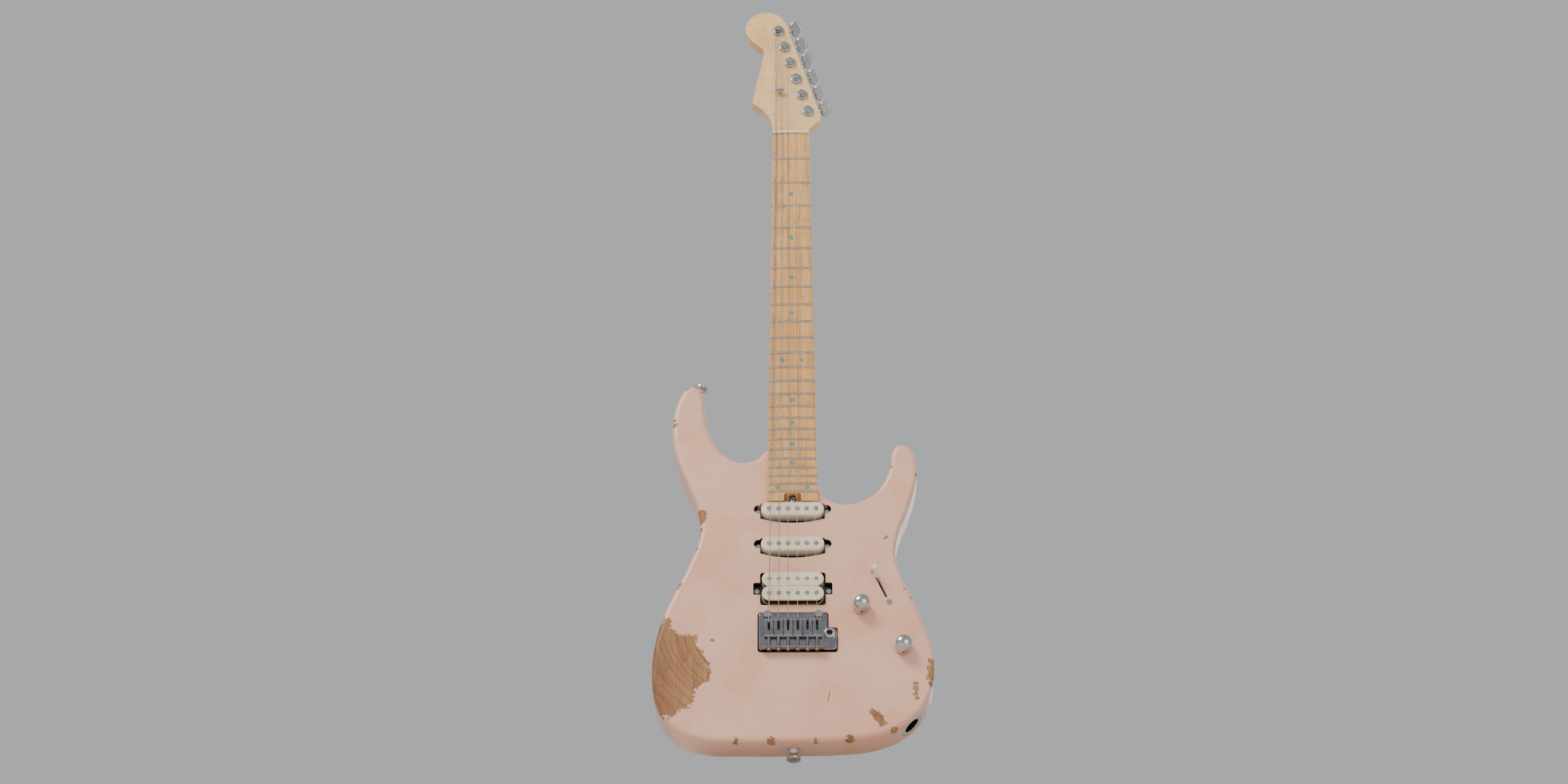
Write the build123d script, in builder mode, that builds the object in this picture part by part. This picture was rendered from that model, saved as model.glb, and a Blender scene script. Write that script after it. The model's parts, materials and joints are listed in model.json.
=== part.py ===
"""Solid-body electric guitar: bolt-on neck, two-point tremolo, two single coils and a humbucker.

Frame: +Z runs up the neck, the strings face -Y, +X is the treble side.  The origin is the end
face of the tail strap button, and the middle of the body's thickness lies at y = 0.
Most places are given as (x, distance below the nut, depth behind the body's face).
"""
import math
import os

from build123d import *

os.makedirs("parts", exist_ok=True)

# ---- driving dimensions, in millimetres and degrees ----
SCALE_LENGTH = 647.7
FRET_COUNT = 24
NUT_WIDTH = 42.9
BOARD_END = 497.5
BOARD_END_WIDTH = 56.4
BOARD_THICKNESS = 6.35
BOARD_RADIUS = 305.0
FRET_HEIGHT = 1.2
FRET_WIDTH = 2.6
FRET_TOP_ABOVE_FACE = 9.0
BODY_THICKNESS = 44.5
TUMMY_PLACE = (-140.0, 545.0)
TUMMY_RADIUS = 260.0
TUMMY_CUT = 16.0
TAIL_DISTANCE = 788.5
EDGE_RADIUS = 5.5
STRAP_BUTTON_HEIGHT = 13.0
POCKET_DEPTH = 16.0
POCKET_START = 400.0
HEEL_START = 430.0
HEEL_FLAT_START = 422.0

STRING_DIAMETERS = (1.17, 0.91, 0.66, 0.43, 0.33, 0.25)
NUT_STRING_PITCH = 7.0
SADDLE_PITCH = 10.5
ACTION_AT_NUT = 0.45
ACTION_AT_SADDLE = 3.4
POST_WAIST_RADIUS = 2.4
WINDING_DEPTH = -3.4
TREE_UNDERSIDE_DEPTH = -2.2
SADDLE_SETBACK = (1.5, 1.0, 0.5, 1.2, 0.7, 0.2)

HEADSTOCK_DEPTH = 2.5
HEADSTOCK_THICKNESS = 14.0
HEADSTOCK_BACK = HEADSTOCK_DEPTH + HEADSTOCK_THICKNESS
SHELF_LENGTH = 6.4
SHELF_RISE = 2.4
SCOOP_LENGTH = 20.0
KEY_TILT = 17.0
WORM_OFFSET = 10.0
HOUSING_HEIGHT = 11.2

COVER_THICKNESS = 2.2
COVER_LEDGE = 6.6
COVER_GAP = 0.2
COVER_SCREW_HEAD = 2.7
COVER_SCREW_SINK = 1.6
COVER_SCREW_LENGTH = 13.0
TOP_OVER_CONTROLS = 6.0
INSERT_RADIUS = 4.75
SCREW_RADIUS = 1.5
NECK_SCREW_RADIUS = 2.3
NECK_SCREW_LENGTH = 41.0
NECK_SCREW_HEAD = 4.4
NECK_HEAD_HEIGHT = 2.6
NECK_SCREW_SINK = 0.4
NECK_HOLE_DEPTH = 13.5
FERRULE_RADIUS = 6.5
FERRULE_LENGTH = 4.0
CLAW_DEPTH = 36.0
CLAW_SCREW_X = 9.0
CLAW_SCREW_RADIUS = 2.0
CLAW_SCREW_END = 535.0
CLAW_HOLE_START = 562.0
CLAW_HEAD_RADIUS = 3.9
CLAW_HEAD_HEIGHT = 2.6
CLAW = (52.0, 11.0, 1.5)
CLAW_THICKNESS = 1.6
JACK_CUP_RADIUS = 11.1
JACK_FLANGE_RADIUS = 14.0
JACK_FLAT = 2.4
JACK_HOLE_DEPTH = 62.0
BUTTON_SINK = 0.2
BUTTON_SEAT_RADIUS = 6.4
BUTTON_SCREW_HOLE = 28.0

POST_PLACES = tuple((-14.4 + 6.94 * number, -157.1 + 23.7 * number) for number in range(6))
BUSHING_RADIUS = 4.7
POST_RADIUS = 3.0
TREE_PLACE = (-13.2, -66.0)
SMALL_SCREW_RADIUS = 1.2
SMALL_HEAD_RADIUS = 2.2
SMALL_HEAD_SEAT = 1.6
TUNER_SCREW_PLACE = (10.3, -5.7)
TUNER_SCREW_LENGTH = 18.9
TUNER_SCREW_HOLE = 8.5
WHEEL_NOTCH_TOP = 488.2
WHEEL_NOTCH = (19.0, 16.0, 3.0)
TRUSS_ROD_WIDTH = 6.2
TRUSS_ROD_HEIGHT = 8.6
TRUSS_ROD_START, TRUSS_ROD_END = 14.0, 486.0
TRUSS_CHANNEL_START = 13.0
TRUSS_CHANNEL_DEPTH = 9.4
CENTRE_UP = (Align.CENTER, Align.CENTER, Align.MIN)
CENTRE_DOWN = (Align.CENTER, Align.CENTER, Align.MAX)

# ---- derived places ----
NUT_Z = STRAP_BUTTON_HEIGHT + TAIL_DISTANCE
FRET_TOP_DEPTH = -FRET_TOP_ABOVE_FACE
BOARD_TOP_DEPTH = FRET_TOP_DEPTH + FRET_HEIGHT
GLUE_DEPTH = BOARD_TOP_DEPTH + BOARD_THICKNESS
MID_DEPTH = BODY_THICKNESS / 2

# places on the face, and fixings
SINGLE_COIL_CENTRES = (506.6, 550.5)
PICKUP_EAR_REACH = 43.0
EAR_SHIFT = 2.0
COIL_SCREW_X = 38.4
COIL_EAR_WIDTH = 11.0
COIL_ROUTE_DEPTH = 17.0
COIL_ROUTE_HALF = 35.8
COIL_ROUTE_HIGH, COIL_ROUTE_LOW, COIL_ROUTE_BELLY = 9.1, 10.0, 15.5
HUMBUCKER_ROWS = (595.6, 613.2)
HUMBUCKER_CENTRE = 604.5
HUMBUCKER_SCREW_X = 39.6
HUMBUCKER_ROUTE = (72.0, 40.4, 3.0)
HUMBUCKER_EARS = (87.0, 15.0, 2.0)
HUMBUCKER_ROUTE_DEPTH = 19.0
PICKUP_HOLE_START, PICKUP_HOLE_END = 10.0, 27.0
POLE_PITCH = 10.35
POST_X = 28.0
POST_DISTANCE = 638.5
ARM_X, ARM_DISTANCE = 39.8, 662.0
RECESS_PLACE, RECESS = (0.0, 658.4), (77.6, 48.8, 3.5)
ARM_RECESS_PLACE, ARM_RECESS = (39.5, 667.6), (19.4, 30.4, 3.5)
ARM_WELL_PLACE, ARM_WELL = (39.8, 665.0), (11.4, 22.0, 2.0)
RECESS_DEPTH = 5.0
ARM_WELL_DEPTH = 24.5
BLOCK_ROUTE_PLACE, BLOCK_ROUTE = (0.0, 655.8), (74.4, 24.4, 2.0)
SPRING_CAVITY_PLACE, SPRING_CAVITY = (0.0, 614.0), (74.4, 108.0, 6.0)
SPRING_CAVITY_DEPTH = 17.0
SPRING_COVER_SEAT = (88.0, 122.0, 7.0)
SPRING_COVER = (87.6, 121.6, 6.8)
STRING_SLOT = (64.0, 12.0)
WIRE_WAY_RADIUS = 3.0
CONTROL_WIRE_START, CONTROL_WIRE_LENGTH = 38.0, 24.0
CONTROL_WIRE_DISTANCE, CONTROL_WIRE_DEPTH = 606.0, 14.0
PICKUP_WIRE_START, PICKUP_WIRE_LENGTH = 600.0, 95.0
PICKUP_WIRE_X, PICKUP_WIRE_DEPTH = 12.0, 13.0
VOLUME_PLACE = (75.0, 628.0)
TONE_PLACE = (120.0, 678.0)
SWITCH_PLACE = (97.2, 602.8)
SWITCH_TILT = 24.0
SWITCH_PIVOT_DEPTH = 20.0
SWITCH_THROW = 27.0
SWITCH_SCREW_SPACING = 41.3
SWITCH_SCREW_RADIUS = 1.6
SWITCH_HEAD_RADIUS, SWITCH_HEAD_HEIGHT = 2.9, 1.3
SWITCH_SLOT_LENGTH, SWITCH_SLOT_WIDTH = 28.4, 2.6
POT_HOLE_RADIUS = 4.9
JACK_PLACE = (128.5, 761.5)
HORN_PLACE = (-107.0, 344.4)
TAIL_PLACE = (0.0, TAIL_DISTANCE)
NECK_SCREW_PLACES = ((-17.5, 441.0), (9.0, 455.0), (-18.5, 484.0), (18.5, 484.0))
CONTROL_OUTLINE = (
    (84, 572), (98, 573), (108, 592), (118, 618), (127, 642), (134, 664), (135, 690), (126, 712),
    (106, 724), (88, 716), (74, 688), (60, 660), (56, 636), (60, 612), (70, 588),
)
CONTROL_SCREW_STOPS = (0, 2, 5, 7, 9, 11, 13)
HORN_SINK = 1.5

# body
BODY_OUTLINE = (
    (-28.2, 427.5), (-42.3, 440.0), (-54.9, 443.0), (-66.4, 440.2), (-78.0, 431.4), (-86.2, 421.0),
    (-93.0, 404.5), (-98.2, 381.0), (-99.8, 362.0), (-104.0, 348.5), (-111.5, 343.4),
    (-120.0, 347.0), (-128.5, 361.0), (-134.1, 382.6), (-135.4, 402.0), (-133.3, 421.0),
    (-127.0, 446.0), (-115.6, 474.7), (-105.1, 505.0), (-102.4, 522.0), (-104.4, 542.0),
    (-114.5, 572.0), (-127.7, 601.7), (-140.1, 631.0), (-148.8, 662.0), (-153.3, 695.0),
    (-150.5, 733.0), (-141.0, 758.0), (-122.5, 777.5), (-95.0, 786.6), (-55.0, 788.5),
    (0.0, 788.5), (50.0, 787.3), (84.0, 783.6), (112.0, 773.6), (135.0, 755.0),
    (148.2, 731.0), (153.4, 699.0), (150.7, 673.0), (142.3, 644.0), (130.8, 615.0),
    (118.7, 585.6), (113.6, 558.0), (117.6, 533.6), (128.6, 503.5), (137.2, 473.0),
    (139.8, 452.0), (136.6, 433.5), (128.0, 422.2), (118.5, 421.0), (112.0, 430.0),
    (109.8, 445.7), (105.0, 462.5), (96.0, 478.5), (79.0, 492.0), (59.7, 496.8), (42.0, 492.5),
    (32.0, 482.5), (27.8, 470.0), (23.5, 455.0), (10.0, 436.0), (-10.0, 424.5),
)

# neck
NECK_SECTIONS = (
    # distance below the nut, thickness under the glue line, fullness of the back
    (-26, 17.9, 0.93), (-18, 17.2, 0.90), (-10, 15.8, 0.85), (-2, 14.6, 0.78), (8, 14.1, 0.72),
    (200, 15.0, 0.72), (392, 15.9, 0.74), (408, 16.1, 0.78), (422, 16.8, 0.88), (432, 17.45, 0.97),
)
HEADSTOCK_OUTLINE = (
    (-21.4, 8.0), (-21.2, -10.0), (-23.2, -24.0), (-29.5, -36.5), (-38.0, -45.5), (-45.6, -51.2),
)
HEADSTOCK_LEFT = ((-45.6, -51.2), (-41.4, -74.5), (-36.9, -97.9), (-33.4, -115.6), (-31.9, -128.8))
HEADSTOCK_TIP = (
    (-31.9, -128.8), (-38.5, -135.8), (-47.5, -144.2), (-53.4, -155.5), (-52.6, -168.5), (-44.5, -180.0),
    (-28.0, -185.3), (-15.5, -181.3), (-7.0, -172.0), (-1.5, -154.2),
)
HEADSTOCK_RIGHT = ((-1.5, -154.2), (34.6, -35.8))
HEADSTOCK_CORNER = ((34.6, -35.8), (34.4, -26.2), (28.0, -19.6), (22.6, -14.0), (21.4, 8.0))
NUT_THICKNESS = 3.3
STRING_SLOT_DEPTH = 1.0
NUT_SEAT_DEPTH = GLUE_DEPTH - 2.2

# fingerboard
FRET_TANG_WIDTH = 0.6
FRET_END_INSET = 0.25
DOT_RADIUS = 3.0
SIDE_DOT_RADIUS = 0.9
SIDE_DOT_LENGTH = 1.2
DOT_DEPTH = 1.8
DOT_FRETS = (3, 5, 7, 9, 15, 17, 19, 21)
SIDE_DOT_DEPTH = BOARD_TOP_DEPTH + 3.4
FRET_TANG_FLOOR = BOARD_TOP_DEPTH + 2.9

# truss rod
WHEEL_DEPTH = 3.4
WHEEL_TOP = WHEEL_NOTCH_TOP + 1.6
WHEEL_LENGTH = 6.2
WHEEL_RADIUS = 4.5
WHEEL_HOLE_RADIUS = 1.1
ROD_STUB_RADIUS = 2.4
ROD_STUB_LENGTH = 9.2

# tuners
HOUSING_BACK = HEADSTOCK_BACK + HOUSING_HEIGHT
KEY_DEPTH = HEADSTOCK_BACK + HOUSING_HEIGHT / 2
GEAR_RADIUS = 7.0
GEAR_HEIGHT = 4.6
GEAR_GAP = 0.3
GEAR_END_GAP = 0.4
WORM_HALF_LENGTH = 6.2
HOUSING_PLACE = (2.2, 3.1)
HOUSING = (21.6, 23.0, 3.5)
HOUSING_EDGE = 2.2
BUSHING_LENGTH = 9.0
BUSHING_HEAD_RADIUS, BUSHING_HEAD_HEIGHT = 6.3, 1.4
WASHER_RADIUS, WASHER_HEIGHT = 7.3, 1.2
TREE_LENGTH, TREE_WIDTH, TREE_THICKNESS = 12.4, 4.4, 1.4
TREE_STEM_RADIUS = 2.1
TREE_SCREW_LENGTH = 13.0
TREE_SCREW_SINK = 1.2
POST_HOLE_RADIUS = 0.8
KEY_COLLAR_START, KEY_COLLAR_LENGTH, KEY_COLLAR_RADIUS = 13.3, 2.4, 3.3
WORM_RADIUS = 2.9
SHAFT_RADIUS = 2.2
RUNNING_GAP = 0.05
BUTTON_ROLL = 25.0
POST_FOOT_DEPTH = HOUSING_BACK - 2.8
POST_TOP_DEPTH = -6.6
WAIST_LOW_DEPTH = -1.4
WAIST_HIGH_DEPTH = -5.0
BUTTON_START = 18.4
BUTTON_LENGTH = 14.0
BUTTON_HALF_WIDTH = 9.4
BUTTON_THICKNESS = 6.4

# single-coil pickups
COVER_LENGTH = 70.0
COVER_WIDTH = 17.3
COVER_WALL = 1.3
BASE_EARS = (85.0, 9.0)
COVER_TOP_DEPTH = -5.6
BASE_DEPTH = 8.6
BASE_THICKNESS = 1.8
POLE_RADIUS = 2.4
POLE_TOP_DEPTH, POLE_FOOT_DEPTH = -6.6, 12.0

# humbucker
BOBBIN_LENGTH = 68.0
BOBBIN_WIDTH = 17.4
BOBBIN_TOP_DEPTH = -6.8
BOBBIN_FOOT_DEPTH = 5.6
FLANGE_THICKNESS = 2.4
LOWER_FLANGE_THICKNESS = 1.4
CORE_LENGTH, CORE_WIDTH = 59.0, 8.0
WITNESS_XS = (-20.7, 15.5, 20.7, 31.5)
WITNESS_RADIUS = 0.55
POLE_SCREW_LENGTH, POLE_SCREW_RISE = 18.5, 0.7
POLE_SLOT_TURN = 25.0
MAGNET_LENGTH = 63.0
TRAY = (70.0, 37.0, 2.0)
TRAY_EARS = (85.0, 12.6, 2.0)
TRAY_THICKNESS = 1.0
PICKUP_SCREW_LENGTH = 18.0
PICKUP_HEAD_RADIUS, PICKUP_HEAD_HEIGHT = 2.8, 1.9
TRAY_DEPTH = 8.6

# tremolo posts
POST_HEAD_RADIUS = 4.2
POST_WAIST = 2.6
POST_COLLAR_RADIUS = 4.4
POST_HEAD_HEIGHT = 2.0
POST_COLLAR_HEIGHT = 2.4
INSERT_TOP, INSERT_FOOT = 5.0, 25.0
STUD_TOP_DEPTH, STUD_FOOT_DEPTH = -6.8, 18.0

# bridge plate
PLATE_TOP_DEPTH = -2.6
PLATE_FOOT_DEPTH = 0.2
PLATE_HALF_WIDTH = 37.4
PLATE_EAR_PLACE, PLATE_EAR = (39.6, 667.5), (16.0, 27.0, 5.0)
WELL_SLOT = (8.0, 3.4)
PLATE_FRONT, PLATE_REAR = 636.0, 681.0
LIP_TOP_DEPTH = -9.8
LIP_THICKNESS = 2.5
KNIFE_GAP = 0.3
ARM_BORE_RADIUS, ARM_BORE_LENGTH = 3.05, 24.0
ARM_COLLAR_RADIUS, ARM_COLLAR_HEIGHT = 6.0, 4.4
ARM_STEM_RADIUS, ARM_STEM_LENGTH = 4.6, 22.4
INTONATION_DEPTH = -6.1
INTONATION_RADIUS = 1.3
INTONATION_HEAD_RADIUS, INTONATION_HEAD_HEIGHT = 2.4, 1.9
STRING_WELL_DISTANCE = 653.6

# sustain block
BLOCK_TOP, BLOCK_BOTTOM = 646.0, 658.0
BLOCK_FOOT_DEPTH = 34.0
BLOCK_LENGTH = 67.0
STRING_HOLE_RADIUS = 0.85
BALL_DEPTH = 14.0
BALL_RADIUS, BALL_LENGTH = 1.9, 3.4
SPRING_XS = (-18.0, 0.0, 18.0)
FREE_SPRING_XS = (-27.0, -9.0, 9.0, 27.0)
SPRING_DEPTH = 32.0
SPRING_WIRE_RADIUS = 0.65

# saddles
SADDLE_WIDTH = 10.2
SADDLE_FOOT_DEPTH = -4.2
SADDLE_REAR = 667.0
SADDLE_TAIL_DEPTH = -7.8
SADDLE_SLOT_END, SADDLE_SLOT_WIDTH = 662.0, 2.7
HEIGHT_SCREW_DISTANCE = 648.3
HEIGHT_SCREW_X = 3.5
HEIGHT_SCREW_RADIUS = 1.3
HEX_RADIUS = 0.65
STRING_CLEARANCE = 0.1

# tremolo springs and claw
CLAW_DISTANCE = 577.0
SPRING_COIL_START, SPRING_COIL_END = 587.0, 636.0
SPRING_RADIUS = 3.8

# pots and knobs
POT_CAN_RADIUS, POT_CAN_HEIGHT = 12.0, 10.5
POT_BUSHING_RADIUS = 4.75
POT_BUSHING_TOP = -3.4
POT_SHAFT_RADIUS = 3.0
POT_SHAFT_FOOT = TOP_OVER_CONTROLS + 8.0
NUT_FLANGE_RADIUS, NUT_FLANGE = 7.0, 0.5
POT_NUT_RADIUS, POT_NUT_HEIGHT = 6.9, 2.2
KNOB_RADIUS, KNOB_HEIGHT, KNOB_BARREL = 9.2, 18.4, 10.8
KNOB_FOOT_DEPTH = -0.9
KNOB_SOCKET = 14.4
GRUB_HEIGHT, GRUB_RADIUS = 6.5, 1.4
KNOB_RECESS_RADIUS, KNOB_RECESS = 7.6, 3.6

# blade switch
SWITCH_PLATE = 1.5
SWITCH_FRAME = (13.0, 47.5, 2.0)
SWITCH_WALL, SWITCH_WALL_LENGTH = 1.2, 30.0
SWITCH_WALL_GAP = 3.2
SWITCH_PIN_RADIUS = 1.5
LEVER_THICKNESS, LEVER_WIDTH, LEVER_LENGTH = 1.6, 5.5, 36.0
HUB_RADIUS, HUB_LENGTH = 3.6, 6.0
TIP_WIDTH, TIP_THICKNESS = 8.5, 5.2
TIP_START, TIP_END = 27.5, 41.5

# output jack
JACK_CUP_DEPTH = 20.0
JACK_WALL = 1.5
JACK_BODY_RADIUS, JACK_BODY_LENGTH = 8.0, 20.0
JACK_NUT_RADIUS, JACK_NUT_HEIGHT = 7.2, 2.4
JACK_BUSHING_RADIUS = 4.75
JACK_BORE_RADIUS = 3.2
JACK_BORE_LENGTH = 24.0
JACK_MOUTH = -14.0

# strap buttons
BUTTON_BASE_RADIUS, BUTTON_WAIST_RADIUS, BUTTON_RIM_RADIUS = 6.0, 3.9, 8.0
BUTTON_SCREW_RADIUS, BUTTON_SCREW_LENGTH, BUTTON_SCREW_HEAD, BUTTON_HEAD_HEIGHT = 2.1, 36.0, 4.2, 2.6

# directions and screw places
JACK_DIRECTION = Vector(0.683, 0, -0.730).normalized()
HORN_DIRECTION = Vector(0.34, 0, 0.94).normalized()
TAIL_DIRECTION = Vector(0, 0, -1)
BUTTON_SEATS = ((TAIL_PLACE, TAIL_DIRECTION, BUTTON_SINK), (HORN_PLACE, HORN_DIRECTION, HORN_SINK))
SPRING_COVER_SCREWS = [
    (side * x, SPRING_CAVITY_PLACE[1] + step)
    for side in (-1, 1)
    for x, step in ((39.0, -56.0), (40.6, 0.0), (39.0, 56.0))
]
PICKUP_SCREW_PLACES = [
    (side * COIL_SCREW_X, centre - EAR_SHIFT) for centre in SINGLE_COIL_CENTRES for side in (-1, 1)
]
PICKUP_SCREW_PLACES += [(side * HUMBUCKER_SCREW_X, HUMBUCKER_CENTRE) for side in (-1, 1)]


def front(x, distance):
    """A front-view point: across the strings, and down the string line from the nut."""
    return (x, NUT_Z - distance)


def depth_y(depth):
    """The y of a depth behind the body's face."""
    return depth - BODY_THICKNESS / 2


def spot(x, distance, depth):
    """A point in space."""
    return Vector(x, depth_y(depth), NUT_Z - distance)


def side_view(depth, distance):
    """A side-view point: a depth behind the body's face, and a distance below the nut."""
    return (depth_y(depth), NUT_Z - distance)


def facing(depth):
    """A plane parallel to the body's face; a positive extrusion comes forward."""
    return Plane.XZ.offset(-depth_y(depth))


def across(distance):
    """A plane square to the strings; a positive extrusion goes towards the headstock."""
    return Plane.XY.offset(NUT_Z - distance)


def along(start, end):
    """A plane at start whose normal points to end."""
    return Plane(origin=start, z_dir=end - start)


def neck_half_width(distance):
    """Half the neck's width at a distance below the nut."""
    return NUT_WIDTH / 2 + (BOARD_END_WIDTH - NUT_WIDTH) / 2 * distance / BOARD_END


def neck_corners(distance):
    """The neck's two edges at a distance below the nut, as front-view points, bass side first."""
    half = neck_half_width(distance)
    return [front(-half, distance), front(half, distance)]


def fret_distance(number):
    """How far a fret lies below the nut."""
    return SCALE_LENGTH * (1 - 2 ** (-number / 12))


def tuner_place(number, outward, upward):
    """A front-view place beside a tuner's post: out along its key, and up along the row of posts."""
    x, distance = POST_PLACES[number]
    tilt = math.radians(KEY_TILT)
    return (
        x + outward * math.cos(tilt) - upward * math.sin(tilt),
        distance - outward * math.sin(tilt) - upward * math.cos(tilt),
    )


def heading(before, point, after):
    """The direction of the circle through three points, at the middle one."""
    incoming, outgoing = point - before, after - point
    return (incoming.normalized() * outgoing.length + outgoing.normalized() * incoming.length).normalized()


def arc_outline(places):
    """A smooth closed outline through front-view places, two tangent arcs from each to the next."""
    points = [Vector(*front(x, distance)) for x, distance in places]
    count = len(points)
    headings = [heading(points[i - 1], points[i], points[(i + 1) % count]) for i in range(count)]
    for i in range(count):
        start, end = points[i], points[(i + 1) % count]
        leaving, arriving = headings[i], headings[(i + 1) % count]
        chord = end - start
        lean = chord.dot(leaving + arriving)
        spread = 2 * (1 - leaving.dot(arriving))
        if spread > 1e-6:
            reach = (math.sqrt(lean * lean + spread * chord.dot(chord)) - lean) / spread
        else:
            reach = chord.dot(chord) / (2 * lean)
        knee, far_knee = start + leaving * reach, end - arriving * reach
        middle = (knee + far_knee) / 2
        for first, last, tangent in ((start, middle, leaving), (middle, end, far_knee - knee)):
            if (last - first).normalized().cross(tangent.normalized()).length < 1e-5:
                Line(first, last)
            else:
                TangentArc(first, last, tangent=tangent)


def beside_outline(places, stop, gap):
    """A place outside a clockwise outline, at a gap from one of its stops."""
    before, point, after = [Vector(*places[(stop + step) % len(places)]) for step in (-1, 0, 1)]
    along_outline = heading(before, point, after)
    return (point.X + along_outline.Y * gap, point.Y - along_outline.X * gap)


CONTROL_COVER_SCREWS = [
    beside_outline(CONTROL_OUTLINE, stop, COVER_LEDGE / 2) for stop in CONTROL_SCREW_STOPS
]
JACK_SEAT = spot(*JACK_PLACE, MID_DEPTH) - JACK_DIRECTION * JACK_FLAT


def jack_plane(height):
    """A plane square to the jack, at a height above the cup's seat."""
    return Plane(origin=JACK_SEAT + JACK_DIRECTION * height, z_dir=JACK_DIRECTION)


def save(piece, name):
    """Label a finished piece and write it as its own STEP file."""
    piece.part.label = name
    export_step(piece.part, f"parts/{name}.step")


def save_group(pieces, name):
    """Write pieces that touch as one STEP file of separate solids."""
    group = Compound(label=name, children=[solid for piece in pieces for solid in piece.part.solids()])
    export_step(group, f"parts/{name}.step")


def countersunk_screw(shank_radius, length, head_radius, head_height):
    """A cross-head countersunk screw running up +Z from its head's face at the origin."""
    with BuildPart() as screw:
        with BuildSketch(Plane.XZ):
            with BuildLine():
                Polyline(
                    (0, 0), (head_radius, 0), (shank_radius, head_height),
                    (shank_radius, length - shank_radius), (0, length), close=True,
                )
            make_face()
        revolve(axis=Axis.Z)
        with BuildSketch(Plane.XY):
            Rectangle(head_radius * 1.2, 0.8)
            Rectangle(0.8, head_radius * 1.2)
        extrude(amount=0.9, mode=Mode.SUBTRACT)
    return screw.part


def cross_slot(length, width, depth):
    """Cut a cross for a screwdriver, centred on the current location."""
    Box(length, width, depth, mode=Mode.SUBTRACT)
    Box(width, length, depth, mode=Mode.SUBTRACT)


def rod(start, end, radius):
    """A plain round rod from one point to another."""
    with BuildPart() as bar:
        with BuildSketch(along(start, end)):
            Circle(radius)
        extrude(amount=(end - start).length)
    return bar.part


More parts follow.
